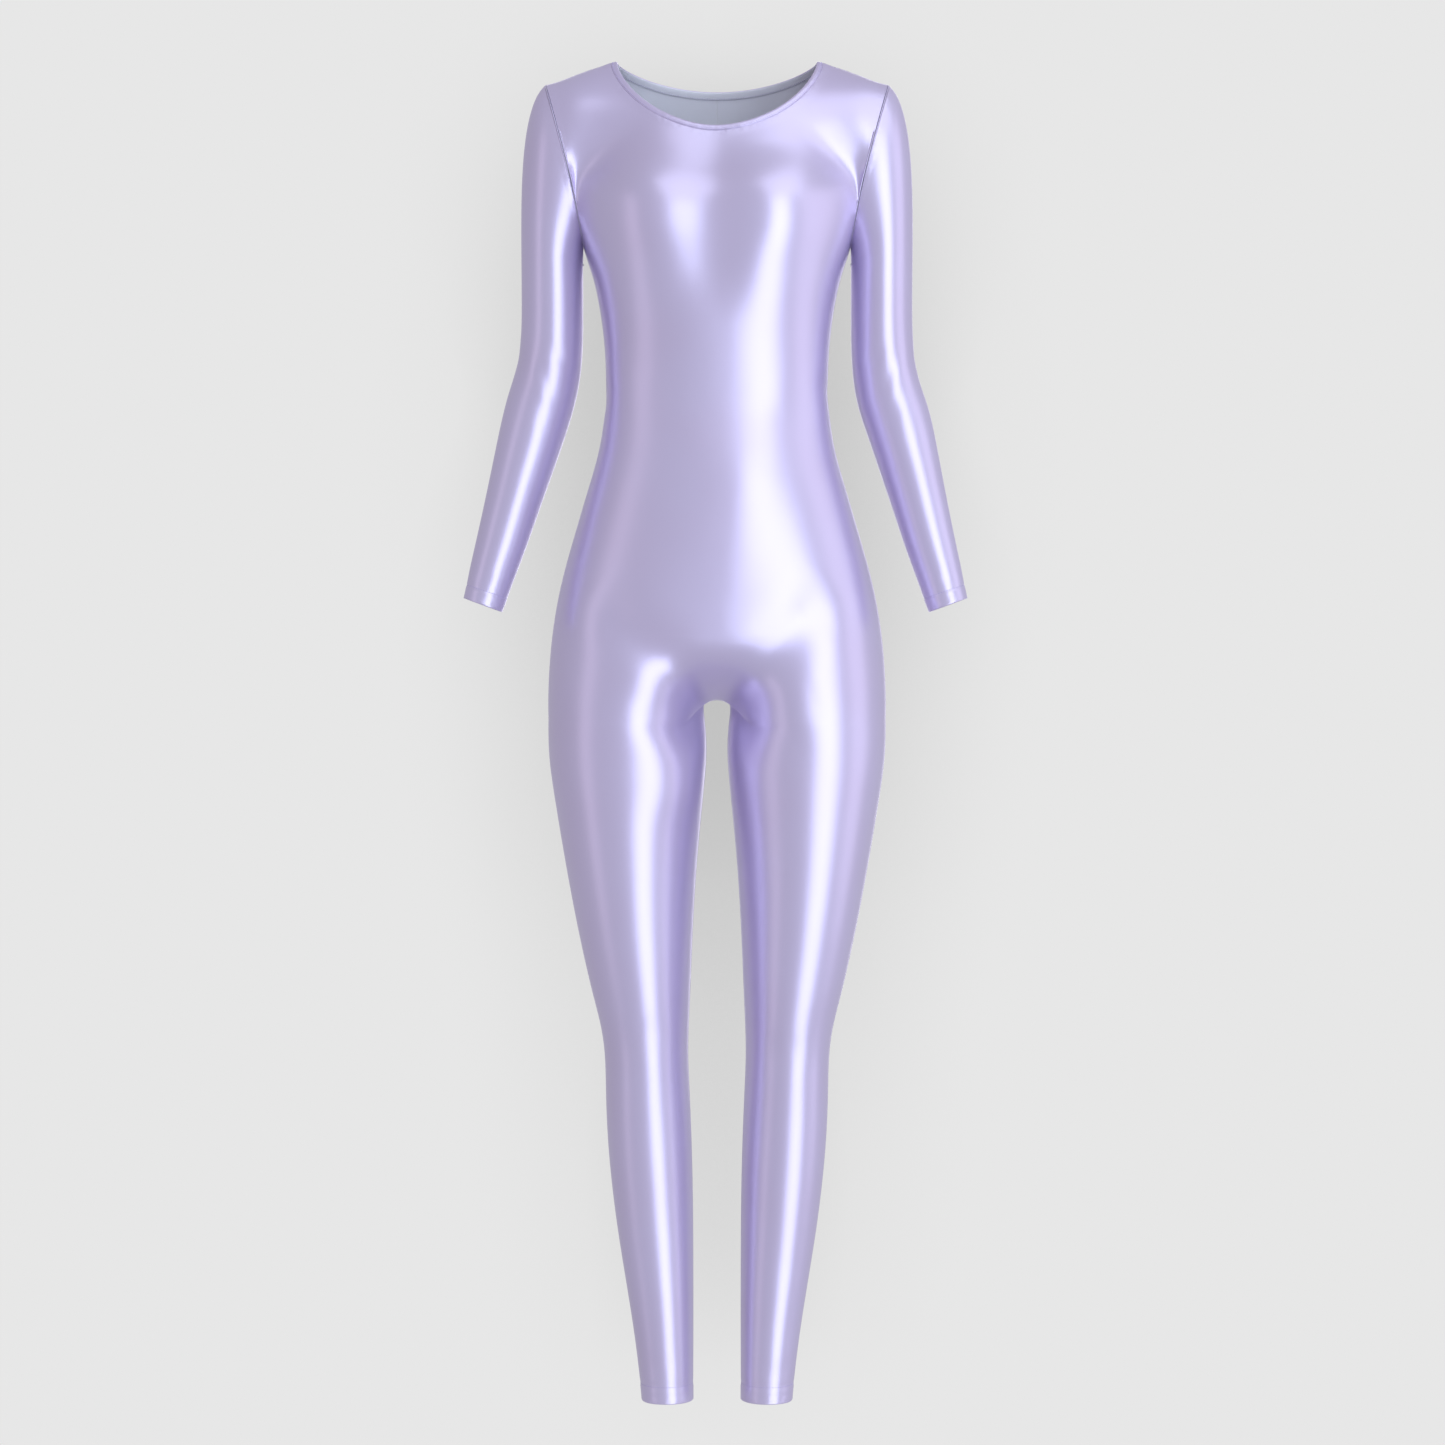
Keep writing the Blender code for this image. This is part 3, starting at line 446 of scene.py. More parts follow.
@dataclass
class BodyForm:
    """The form of the torso and the legs."""

    neck_half_width: float = 104.0
    neck_drop: tuple[float, float] = (75.0, 18.5)
    neck_reach: tuple[float, float] = (66.0, 76.0)
    neck_round: tuple[float, float] = (1.3, 1.9)
    neck_lean: tuple[float, float] = (-0.45, 0.42)
    neck_fall: float = -0.9
    neck_side_fall: float = -0.17
    neck_blend: float = 1.6
    bind_face: float = 5.5
    bind_turn: float = 8.2
    bind_margin: float = 1.0
    seam_gap: float = 0.3
    tip: tuple[float, float] = (178.0, -24.0)
    underarm: tuple[float, float] = (138.6, -193.0)
    armhole_y: float = 3.0
    armhole_scoop: tuple[float, float] = (50.0, 58.0)
    armhole_taper: tuple[float, float] = (1.24, 0.95)
    crossing_out: tuple[float, float] = (0.25, 0.75)
    crossing_sweep: float = 0.95
    crossing_rise: float = 1.5
    chest_y: tuple[float, float] = (-110.0, 101.0)
    chest_z: float = -166.0
    chest_lean: tuple[float, float] = (-0.12, -0.08)
    chest_reach: float = 1.12
    chest_arrive: tuple[float, float, float] = (0.52, 0.85, 0.06)
    chest_inward: float = -0.16
    underarm_fall: tuple[float, float, float] = (-0.3, 0.0, -0.95)
    bust_at: tuple[float, float] = (66.0, -166.0)
    bust_rise: float = 9.0
    bust_spread: tuple[float, float] = (43.0, 56.0)
    bust_wrap: float = 70.0
    crotch_y: float = 2.0
    crotch_z: float = -661.0
    turn_z: float = -585.0
    turn_round: tuple[float, float] = (2.1, 2.6)
    side_z_at_crotch: float = -684.0
    side_roundness: float = 2.3
    row_samples: int = 40
    row_ease: float = 0.55
    flat_front: float = 0.5
    climb_run: float = 62.0
    body_splits: int = 6
    underarm_splits: int = 3
    armhole_splits: int = 7
    turn_rows: int = 6
    upper_side_rows: int = 3
    next_row_drop: float = 4.0
    yoke_steps: tuple[float, ...] = (0.0, 0.12, 0.28, 0.46, 0.64, 0.82, 1.0)
    torso_rows: tuple[float, ...] = (
        -237.0, -270.0, -305.0, -340.0, -375.0, -410.0, -445.0, -487.0, -528.0, -558.0, -585.0,
    )
    easing: tuple[float, float] = (0.5, -0.52)
    easing_passes: int = 4

    def pick(self, pair: tuple[float, float], facing: float) -> float:
        """Give the front's value of a pair where facing is -1, or the back's."""
        return pair[0] if facing < 0 else pair[1]

    def bust(self, points: np.ndarray) -> np.ndarray:
        """Push the front of the chest out into the cut's two soft mounds.

        Args:
            points: Places on the form.

        Returns:
            The places, raised.
        """
        across = (np.abs(points[..., 0]) - self.bust_at[0]) / self.bust_spread[0]
        up = (points[..., 2] - self.bust_at[1]) / self.bust_spread[1]
        facing = smoothstep(-points[..., 1] / self.bust_wrap)
        raised = points.copy()
        raised[..., 1] -= self.bust_rise * np.exp(-0.5 * (across**2 + up**2)) * facing
        return raised

    def half_row(
        self, inner: np.ndarray, far: tuple[float, float], side: tuple[float, float],
        turn: float, reach: float, facing: float, side_z: float,
    ) -> np.ndarray:
        """Lay one half row in plan, from its inner end round the front or back to the side.

        Args:
            inner: The inner end.
            far: The farthest point to the front or back, in plan.
            side: The side's point, in plan.
            turn: The angle in degrees at which the row leaves its inner end.
            reach: How far that first direction holds.
            facing: -1 for the front and 1 for the back.
            side_z: The height at the side.

        Returns:
            A dense line of points.
        """
        far_x, far_y = far
        centred = far_x < inner[0] + 1.0
        far_x = inner[0] if centred else far_x
        t = np.linspace(0.0, 1.0, self.row_samples)[:, None]
        angle = np.radians(turn)
        start = inner[:2]
        leave = start + np.array([np.cos(angle), facing * np.sin(angle)]) * reach
        end = np.array([far_x, far_y])
        arrive = end - np.array([self.row_ease * (far_x - inner[0]), 0.0])
        inner_part = (
            start * (1 - t) ** 3 + 3 * leave * t * (1 - t) ** 2 + 3 * arrive * t * t * (1 - t) + end * t**3
        )
        swing = np.linspace(0.0, np.pi / 2, self.row_samples)[:, None]
        power = 2.0 / self.side_roundness
        outer_x = far_x + (side[0] - far_x) * np.sin(swing) ** power
        outer_y = side[1] + (far_y - side[1]) * np.cos(swing) ** power
        outer_part = np.concatenate([outer_x, outer_y], axis=1)
        plan = outer_part if centred else np.concatenate([inner_part[:-1], outer_part])
        away = np.linalg.norm(plan - start, axis=1)
        height = inner[2] + (side_z - inner[2]) * smoothstep(away / self.climb_run)
        return np.concatenate([plan, height[:, None]], axis=1)

    def row(
        self, front_inner: np.ndarray, back_inner: np.ndarray, side_z: float, turn: float, reach: float
    ) -> np.ndarray:
        """Give a row's points from the front inner end, past the side seam, to the back inner end.

        Args:
            front_inner: The front's inner end.
            back_inner: The back's inner end.
            side_z: The height at the side seam.
            turn: The angle in degrees at which both halves leave their ends.
            reach: How far that direction holds, or 0 for a share of the depth.

        Returns:
            The row's points.
        """
        level = level_at(side_z)
        side = (level.side_x, level.side_y)
        front_far, back_far = (level.front_x, level.front_y), (level.back_x, level.back_y)
        columns = self.body_splits + self.underarm_splits
        front_reach = reach if reach else self.row_ease * abs(level.front_y - front_inner[1])
        back_reach = reach if reach else self.row_ease * abs(level.back_y - back_inner[1])
        front = self.half_row(front_inner, front_far, side, turn, front_reach, -1, side_z)
        back = self.half_row(back_inner, back_far, side, turn, back_reach, 1, side_z)
        return np.concatenate([spaced(front, columns), spaced(back, columns)[::-1][1:]])

    def torso_row(self, z: float) -> np.ndarray:
        """Give a level row of the torso above the crotch.

        Args:
            z: The row's height.

        Returns:
            The row's points.
        """
        level = level_at(z)
        front_inner = np.array([0.0, level.front_y, z])
        back_inner = np.array([0.0, level.back_y, z])
        return self.row(front_inner, back_inner, z, 0.0, max(self.flat_front * level.front_x, 1.0))

    def turning_row(self, step: float) -> np.ndarray:
        """Give a row between the belly and the crotch, whose ends follow the centre line under.

        Args:
            step: The share of the way down, from 0 to 1.

        Returns:
            The row's points.
        """
        swing = step * np.pi / 2
        top = level_at(self.turn_z)
        ends = []
        for far_y, roundness in zip((top.front_y, top.back_y), self.turn_round):
            y = self.crotch_y + (far_y - self.crotch_y) * np.cos(swing) ** (2.0 / roundness)
            z = self.turn_z + (self.crotch_z - self.turn_z) * np.sin(swing) ** (2.0 / roundness)
            ends.append(np.array([0.0, y, z]))
        side_z = self.turn_z + (self.side_z_at_crotch - self.turn_z) * step
        start_reach = self.flat_front * top.front_x
        reach = start_reach + (ARCH[0].reach - start_reach) * smoothstep(step)
        return self.row(ends[0], ends[1], side_z, ARCH[0].turn * step**2, reach)

    def leg_row(self, inseam: Inseam) -> np.ndarray:
        """Give one closed ring of the leg, from the inseam round the front, side and back."""
        inner = np.array([inseam.x, inseam.y, inseam.z])
        return self.row(inner, inner, inseam.side_z, inseam.turn, inseam.reach)

    def armhole_point(self, swing: float, facing: float) -> np.ndarray:
        """Give the armhole seam at an angle from the shoulder tip (0) to the underarm (pi).

        Args:
            swing: The angle.
            facing: -1 for the front and 1 for the back.

        Returns:
            The place on the seam.
        """
        share = (1.0 + np.cos(swing)) / 2.0
        taper = self.pick(self.armhole_taper, facing)
        x = self.underarm[0] + (self.tip[0] - self.underarm[0]) * share**taper
        y = self.armhole_y + facing * self.pick(self.armhole_scoop, facing) * np.sin(swing)
        z = self.underarm[1] + (self.tip[1] - self.underarm[1]) * share
        return np.array([x, y, z])

    def armhole_crossing(self, swing: float, facing: float) -> np.ndarray:
        """Give the direction in which the cloth crosses the armhole, out of the body.

        Args:
            swing: The angle round the armhole.
            facing: -1 for the front and 1 for the back.

        Returns:
            A direction of length one.
        """
        up = ((1.0 + np.cos(swing)) / 2.0) ** self.crossing_rise
        least, more = self.crossing_out
        out = least + more * (1.0 - np.cos(swing)) / 2.0
        faces = unit([out, facing * self.crossing_sweep * np.sin(swing), up])
        step = 0.001
        along = self.armhole_point(swing + step, facing) - self.armhole_point(swing - step, facing)
        return unit(facing * np.cross(along, faces))

    def armhole_swings(self) -> np.ndarray:
        """Give the angles of the armhole's points from the underarm up to the shoulder tip."""
        return np.linspace(np.pi, 0.0, self.underarm_splits + self.armhole_splits + 1)

    def neck_point(self, turn: float, facing: float) -> np.ndarray:
        """Give the neck edge at an angle from the centre line (0) to the shoulder (pi / 2).

        Args:
            turn: The angle.
            facing: -1 for the front and 1 for the back.

        Returns:
            The place on the edge.
        """
        near = max(np.cos(turn), 0.0)
        y = facing * self.pick(self.neck_reach, facing) * near
        z = -self.pick(self.neck_drop, facing) * near ** self.pick(self.neck_round, facing)
        return np.array([self.neck_half_width * np.sin(turn), y, z])

    def neck_leaving(self, turn: float, facing: float) -> np.ndarray:
        """Give the direction in which the cloth leaves the neck edge.

        Args:
            turn: The angle round the neck.
            facing: -1 for the front and 1 for the back.

        Returns:
            A direction of length one.
        """
        sideways = np.sin(turn) ** self.neck_blend
        ahead = np.cos(turn) ** self.neck_blend
        drop = np.array([0.0, self.pick(self.neck_lean, facing), self.neck_fall])
        return unit(sideways * np.array([1.0, 0.0, self.neck_side_fall]) + ahead * drop)

    def chest_line(self, facing: float) -> np.ndarray:
        """Give the row where the yoke meets the body, from the centre line to the armhole.

        Args:
            facing: -1 for the front and 1 for the back.

        Returns:
            The row's points.
        """
        end = self.armhole_point(self.armhole_swings()[self.underarm_splits], facing)
        start = np.array([0.0, self.pick(self.chest_y, facing), self.chest_z])
        reach = np.linalg.norm(end - start) * self.chest_reach
        out, inwards, up = self.chest_arrive
        arrive = unit([out, -facing * inwards, up])
        dense = hermite(start, np.array([reach, 0.0, 0.0]), end, arrive * reach, np.linspace(0, 1, 60))
        return spaced(dense, self.body_splits)

    def chest_falling(self, column: int, facing: float) -> np.ndarray:
        """Give the downward slope of the cloth where a column crosses the chest line."""
        inward = self.chest_inward * smoothstep(column / self.body_splits)
        return unit([inward, self.pick(self.chest_lean, facing), -1.0])

    def yoke_half(self, facing: float) -> np.ndarray:
        """Give the yoke grid of the front or back: rows from the neck edge, columns to the shoulder.

        Args:
            facing: -1 for the front and 1 for the back.

        Returns:
            Rows of points.
        """
        columns = self.body_splits + self.armhole_splits
        turns = np.linspace(0.0, np.pi / 2, 200)
        rim = np.array([self.neck_point(turn, facing) for turn in turns])
        travelled = np.concatenate([[0.0], np.cumsum(np.linalg.norm(np.diff(rim, axis=0), axis=1))])
        rim_turns = np.interp(np.linspace(0.0, travelled[-1], columns + 1), travelled, turns)
        chest, swings = self.chest_line(facing), self.armhole_swings()
        grid = []
        for column in range(columns + 1):
            start = self.neck_point(rim_turns[column], facing)
            if column <= self.body_splits:
                end, arrive = chest[column], self.chest_falling(column, facing)
            else:
                swing = swings[self.underarm_splits + column - self.body_splits]
                end = self.armhole_point(swing, facing)
                across = smoothstep((column - self.body_splits) / self.armhole_splits)
                falling = self.chest_falling(self.body_splits, facing)
                arrive = unit((1.0 - across) * falling + across * self.armhole_crossing(swing, facing))
            length = np.linalg.norm(end - start)
            leave = self.neck_leaving(rim_turns[column], facing)
            bound = (self.bind_face + self.seam_gap / 2) / length
            turned = (self.bind_turn + self.bind_margin) / length
            rest = turned + (1.0 - turned) * np.array(self.yoke_steps[1:])
            steps = np.concatenate([[0.0, bound, turned], rest])
            grid.append(hermite(start, leave * length, end, arrive * length, steps))
        return self.bust(np.array(grid).transpose(1, 0, 2))

    def upper_side(self, facing: float) -> np.ndarray:
        """Give the grid between the chest line with the underarm and the first level row below it.

        Args:
            facing: -1 for the front and 1 for the back.

        Returns:
            Rows of points.
        """
        columns = self.body_splits + self.underarm_splits
        top_z = self.torso_rows[0]
        below, nearby = self.torso_row(top_z), self.torso_row(top_z - self.next_row_drop)
        if facing < 0:
            below, nearby = below[: columns + 1], nearby[: columns + 1]
        else:
            below, nearby = below[columns:][::-1], nearby[columns:][::-1]
        chest, swings = self.chest_line(facing), self.armhole_swings()
        grid = []
        for column in range(columns + 1):
            if column <= self.body_splits:
                start, leave = chest[column], self.chest_falling(column, facing)
            else:
                start = self.armhole_point(swings[columns - column], facing)
                mix = (column - self.body_splits) / self.underarm_splits
                falling = self.chest_falling(self.body_splits, facing)
                leave = unit((1.0 - mix) * falling + mix * np.array(self.underarm_fall))
            end = below[column]
            length = np.linalg.norm(end - start)
            arrive = unit(nearby[column] - end)
            steps = np.linspace(0.0, 1.0, self.upper_side_rows + 1)
            grid.append(hermite(start, leave * length, end, arrive * length, steps))
        return self.bust(np.array(grid).transpose(1, 0, 2))

    def lower_body(self) -> np.ndarray:
        """Give the rows from the ribs to the ankle, each from the front inner end to the back one.

        Returns:
            Rows of points.
        """
        rows = [self.torso_row(z) for z in self.torso_rows]
        rows += [self.turning_row(step / self.turn_rows) for step in range(1, self.turn_rows)]
        rows += [self.leg_row(inseam) for inseam in ARCH + LEG_INSEAM]
        return self.bust(np.array(rows))

    def eased(self, sheet: Sheet, held: set[int]) -> np.ndarray:
        """Ease puckers out of the half body without shrinking it.

        Args:
            sheet: The half body.
            held: The numbers of the points that stay.

        Returns:
            The eased points.
        """
        surface = sheet.surface()
        points = surface.points.copy()
        centre = np.abs(points[:, 0]) < ON_PLANE
        border = surface.edges[surface.on_border]
        loose = border[~(centre[border[:, 0]] & centre[border[:, 1]])]
        free = np.ones(len(points), dtype=bool)
        free[loose.ravel()] = False
        free[list(held)] = False
        start, end = surface.edges.T
        places, others = np.concatenate([start, end]), np.concatenate([end, start])
        weight = np.where(centre[places] & ~centre[others], 2.0, 1.0)
        total = surface.gathered(places, weight)
        for strength in self.easing * self.easing_passes:
            mean = surface.gathered(places, weight[:, None] * points[others]) / total[:, None]
            drift = np.where(free[:, None], mean - points, 0.0)
            drift[centre, 0] = 0.0
            points = points + strength * drift
        return points

    def cage(self) -> Surface:
        """Give the whole body's cage, both halves joined at the centre line.

        Returns:
            The cage of the torso and legs.
        """
        yokes = {facing: self.yoke_half(facing) for facing in (-1, 1)}
        sides = {facing: self.upper_side(facing) for facing in (-1, 1)}
        lower = self.lower_body()
        columns = self.body_splits + self.underarm_splits
        half = Sheet()
        for facing, panel in ((-1, Panel.FRONT), (1, Panel.BACK_LEFT)):
            flip = facing > 0
            half.add_grid(yokes[facing], panel, flip=flip, bound=True)
            half.add_grid(sides[facing], panel, flip=flip)
        half.add_grid(lower[:, : columns + 1], Panel.FRONT, hem=1)
        half.add_grid(lower[:, columns:], Panel.BACK_LEFT, hem=1)
        held = {half.index[place_key(point)] for yoke in yokes.values() for row in yoke[:3] for point in row}
        half.points = list(self.eased(half, held))

        whole = Sheet()
        for mirror in (1.0, -1.0):
            numbers = [whole.add_point(point * np.array([mirror, 1.0, 1.0])) for point in half.points]
            for quad, panel, zone in zip(half.quads, half.panels, half.zones):
                corners = [numbers[corner] for corner in quad]
                whole.quads.append(corners if mirror > 0 else corners[::-1])
                flipped = mirror < 0 and panel == Panel.BACK_LEFT.value
                whole.panels.append(Panel.BACK_RIGHT.value if flipped else panel)
                whole.zones.append(zone)
        return whole.surface()


@dataclass
class SleeveForm:
    """The form of one sleeve."""

    panel: Panel
    mirror: float
    elbow_drop: float
    cuff_in: float
    body: BodyForm
    seam_step: float = 0.45
    cap_steps: tuple[float, ...] = (0.0, 0.09, 0.2, 0.34, 0.5, 0.67, 0.84)
    cap_over: tuple[float, float] = (0.75, -0.66)
    cap_under: tuple[float, float, float] = (0.04, 0.1, -1.0)
    cap_flare: float = 0.35
    cap_reach: tuple[float, float] = (0.58, 0.42)
    elbow_z: float = -325.0
    elbow_span: float = 45.0

    def cage(self) -> Surface:
        """Give the sleeve's cage, from the armhole to the cuff.

        Returns:
            The cage of this sleeve.
        """
        half = self.body.underarm_splits + self.body.armhole_splits
        downwards = np.linspace(0, np.pi, half + 1)
        swings = np.concatenate([downwards, np.linspace(np.pi, 0, half + 1)[1:-1]])
        facings = np.array([-1.0] * (half + 1) + [1.0] * (half - 1))
        cuff_z = SLEEVE_RINGS[-1].z
        rings = []
        for ring in SLEEVE_RINGS:
            near_elbow = np.exp(-(((ring.z - self.elbow_z) / self.elbow_span) ** 2))
            past_elbow = smoothstep((self.elbow_z - ring.z) / (self.elbow_z - cuff_z))
            tilt = np.radians(ring.tilt)
            lateral = np.array([np.cos(tilt), 0.0, np.sin(tilt)])
            x, z = ring.x - self.cuff_in * past_elbow, ring.z - self.elbow_drop * near_elbow
            centre = np.array([x, ring.y, z])
            wide = lateral * (ring.half_width * np.cos(swings))[:, None]
            deep = np.array([0.0, 1.0, 0.0]) * (facings * ring.half_depth * np.sin(swings))[:, None]
            rings.append(centre + wide + deep)
        rings = np.array(rings)
        cap = []
        for column, (swing, facing) in enumerate(zip(swings, facings)):
            start = self.body.armhole_point(swing, facing) + np.array([self.seam_step, 0.0, 0.0])
            end = rings[0][column]
            length = np.linalg.norm(end - start)
            share = (1.0 + np.cos(swing)) / 2.0
            over = np.array([self.cap_over[0], 0.0, self.cap_over[1]])
            under = np.array([self.cap_under[0], facing * self.cap_under[1], self.cap_under[2]])
            flare = np.sin(swing) * np.array([self.cap_flare, 0.0, 0.0])
            leave = unit(share * over + (1 - share) * under + flare)
            leave = leave * length * (self.cap_reach[0] + self.cap_reach[1] * (1 - share))
            drop = unit(rings[1][column] - end)
            cap.append(hermite(start, leave, end, drop * length, self.cap_steps))
        grid = np.concatenate([np.array(cap).transpose(1, 0, 2), rings])
        grid = grid * np.array([self.mirror, 1.0, 1.0])
        sheet = Sheet()
        sheet.add_grid(grid, self.panel, flip=self.mirror > 0, closed=True, hem=1)
        return sheet.surface()


class View(Enum):
    """The side of the suit on which a crease is drawn, as the way it faces."""

    FRONT = (0.0, -1.0, 0.0)
    BACK = (0.0, 1.0, 0.0)
    LEFT = (1.0, 0.0, 0.0)
    RIGHT = (-1.0, 0.0, 0.0)


@dataclass(frozen=True)
class Crease:
    """One soft fold or tension line, drawn as a path across the cloth.

    The path holds places as seen from its view: x and z on the front and back, y and z on the sides.
    A rise below zero is a trough. The fold is steeper on the side where its width is the smaller.
    """

    view: View
    path: tuple[tuple[float, float], ...]
    rise: float
    widths: tuple[float, float]
    taper: float = 0.3
    fade_from: float = 0.02
    fade_span: float = 0.35
    near_mm: float = 20.0

    def height(self, points: np.ndarray, facing: np.ndarray) -> np.ndarray:
        """Give how far the crease lifts each point along its facing.

        Args:
            points: Places on the cloth.
            facing: The direction outwards at each place.

        Returns:
            The lift at each place, in millimetres.
        """
        axis = np.array(self.view.value)
        across = 0 if axis[1] else 1
        seen = points[:, [across, 2]]
        faces = smoothstep((facing @ axis - self.fade_from) / self.fade_span)
        near_side = smoothstep((points @ axis + self.near_mm) / self.near_mm)
        path = np.array(self.path)
        legs = np.linalg.norm(np.diff(path, axis=0), axis=1)
        along = np.concatenate([[0.0], np.cumsum(legs)]) / legs.sum()
        best = np.full(len(points), np.inf)
        signed = np.zeros(len(points))
        share = np.zeros(len(points))
        for start, end, low, high in zip(path, path[1:], along, along[1:]):
            run = end - start
            t = np.clip(((seen - start) @ run) / (run @ run), 0.0, 1.0)
            off = seen - (start + t[:, None] * run)
            gap = np.linalg.norm(off, axis=1)
            side = np.sign(run[0] * off[:, 1] - run[1] * off[:, 0])
            nearer = gap < best
            best = np.where(nearer, gap, best)
            signed = np.where(nearer, side, signed)
            share = np.where(nearer, low + t * (high - low), share)
        width = np.where(signed > 0, self.widths[0], self.widths[1])
        ends = smoothstep(share / self.taper) * smoothstep((1.0 - share) / self.taper)
        return self.rise * np.exp(-((best / width) ** 2)) * ends * faces * near_side


BODY_CREASES = (
    Crease(
        View.FRONT, ((24.0, -350.0), (20.0, -440.0), (6.0, -530.0), (0.0, -600.0), (0.0, -668.0)),
        5.6, (46.0, 70.0), 0.3,
    ),
    Crease(
        View.FRONT, ((-6.0, -50.0), (-10.0, -120.0), (-12.0, -200.0), (-8.0, -290.0)),
        -7.0, (40.0, 40.0), 0.3,
    ),
    Crease(View.FRONT, ((62.0, -92.0), (66.0, -150.0), (74.0, -232.0)), 4.4, (38.0, 36.0), 0.4),
    Crease(View.FRONT, ((-74.0, -88.0), (-80.0, -146.0), (-76.0, -222.0)), 4.0, (36.0, 36.0), 0.4),
    Crease(
        View.FRONT, ((-2.0, -684.0), (-30.0, -646.0), (-62.0, -616.0), (-98.0, -588.0), (-126.0, -550.0)),
        -5.2, (24.0, 26.0), 0.25,
    ),
    Crease(
        View.FRONT, ((2.0, -690.0), (26.0, -656.0), (60.0, -618.0), (95.0, -580.0), (120.0, -540.0)),
        -5.8, (26.0, 32.0), 0.25,
    ),
    Crease(View.FRONT, ((-34.0, -800.0), (-40.0, -730.0), (-56.0, -668.0)), 3.4, (30.0, 40.0), 0.35),
    Crease(View.FRONT, ((24.0, -716.0), (60.0, -682.0), (104.0, -664.0)), 2.4, (30.0, 24.0), 0.35),
    Crease(View.FRONT, ((-148.0, -162.0), (-138.0, -112.0), (-112.0, -74.0)), 1.5, (18.0, 18.0), 0.4),
    Crease(View.FRONT, ((148.0, -162.0), (138.0, -112.0), (112.0, -74.0)), 1.5, (18.0, 18.0), 0.4),
    Crease(View.FRONT, ((-100.0, -318.0), (-66.0, -342.0), (-30.0, -350.0)), -0.7, (18.0, 24.0), 0.4),
    Crease(View.FRONT, ((104.0, -352.0), (74.0, -372.0), (40.0, -380.0)), -0.6, (20.0, 16.0), 0.4),
    Crease(View.FRONT, ((-96.0, -990.0), (-72.0, -1006.0), (-42.0, -1002.0)), -0.9, (16.0, 24.0), 0.4),
    Crease(View.FRONT, ((96.0, -1012.0), (70.0, -1024.0), (42.0, -1016.0)), -0.9, (24.0, 16.0), 0.4),
    Crease(View.FRONT, ((-78.0, -1344.0), (-60.0, -1352.0), (-34.0, -1346.0)), -0.5, (8.0, 10.0), 0.4),
    Crease(View.FRONT, ((80.0, -1350.0), (58.0, -1358.0), (36.0, -1351.0)), -0.5, (9.0, 8.0), 0.4),
    Crease(View.BACK, ((0.0, -360.0), (2.0, -440.0), (-1.0, -540.0), (0.0, -640.0)), -4.2, (26.0, 26.0), 0.3),
    Crease(
        View.BACK, ((-16.0, -700.0), (-50.0, -706.0), (-92.0, -694.0), (-126.0, -672.0)),
        -3.0, (13.0, 20.0), 0.3,
    ),
    Crease(
        View.BACK, ((16.0, -702.0), (52.0, -708.0), (90.0, -697.0), (122.0, -678.0)),
        -3.0, (20.0, 13.0), 0.3,
    ),
    Crease(View.BACK, ((-92.0, -326.0), (-54.0, -346.0), (-16.0, -350.0)), -1.2, (24.0, 32.0), 0.4),
    Crease(View.BACK, ((88.0, -340.0), (50.0, -360.0), (14.0, -362.0)), -1.1, (30.0, 22.0), 0.4),
    Crease(View.BACK, ((-140.0, -178.0), (-116.0, -148.0), (-90.0, -134.0)), -1.8, (10.0, 14.0), 0.35),
    Crease(View.BACK, ((142.0, -184.0), (114.0, -158.0), (84.0, -146.0)), -1.7, (14.0, 10.0), 0.35),
    Crease(View.BACK, ((-110.0, -1004.0), (-76.0, -1020.0), (-38.0, -1010.0)), -1.5, (18.0, 26.0), 0.35),
    Crease(View.BACK, ((106.0, -1010.0), (74.0, -1030.0), (38.0, -1022.0)), -1.5, (26.0, 18.0), 0.35),
    Crease(View.LEFT, ((-60.0, -330.0), (-10.0, -346.0), (44.0, -338.0)), -1.0, (12.0, 16.0), 0.35),
    Crease(View.RIGHT, ((-56.0, -342.0), (-6.0, -356.0), (50.0, -346.0)), -1.0, (16.0, 12.0), 0.35),
)
SLEEVE_CREASES = (
    Crease(View.FRONT, ((150.0, -306.0), (166.0, -322.0), (190.0, -330.0)), -1.3, (16.0, 22.0), 0.3),
    Crease(View.FRONT, ((152.0, -350.0), (172.0, -366.0), (196.0, -370.0)), -0.7, (15.0, 20.0), 0.35),
    Crease(View.FRONT, ((226.0, -536.0), (240.0, -542.0), (252.0, -538.0)), -0.4, (6.0, 7.0), 0.4),
    Crease(View.BACK, ((146.0, -200.0), (160.0, -168.0), (178.0, -146.0)), -0.8, (20.0, 16.0), 0.35),
    Crease(View.BACK, ((160.0, -300.0), (184.0, -318.0), (208.0, -312.0)), 1.0, (14.0, 18.0), 0.35),
    Crease(View.BACK, ((158.0, -350.0), (180.0, -360.0), (204.0, -352.0)), -0.8, (14.0, 18.0), 0.35),
    Crease(View.LEFT, ((-28.0, -318.0), (6.0, -306.0), (40.0, -316.0)), -0.6, (10.0, 14.0), 0.35),
)


def creased(creases: tuple[Crease, ...], points: np.ndarray, facing: np.ndarray) -> np.ndarray:
    """Add up how far the creases lift each point."""
    return sum(crease.height(points, facing) for crease in creases)


class Edge(Enum):
    """How a cloth piece ends: rolled into a seam, or folded over as a hem."""

    SEAM = ((-1.2, 0.0), (-0.62, 0.24), (-0.14, 0.05), (-0.06, -0.8))
    FOLD = ((-0.55, 0.0), (-0.12, -0.35), (0.0, -0.9), (-0.14, -1.5))


@dataclass
class Stitching:
    """A path for stitches: places, the way each stitch lies and the way it faces."""

    name: str
    points: np.ndarray
    lies: np.ndarray
    faces: np.ndarray


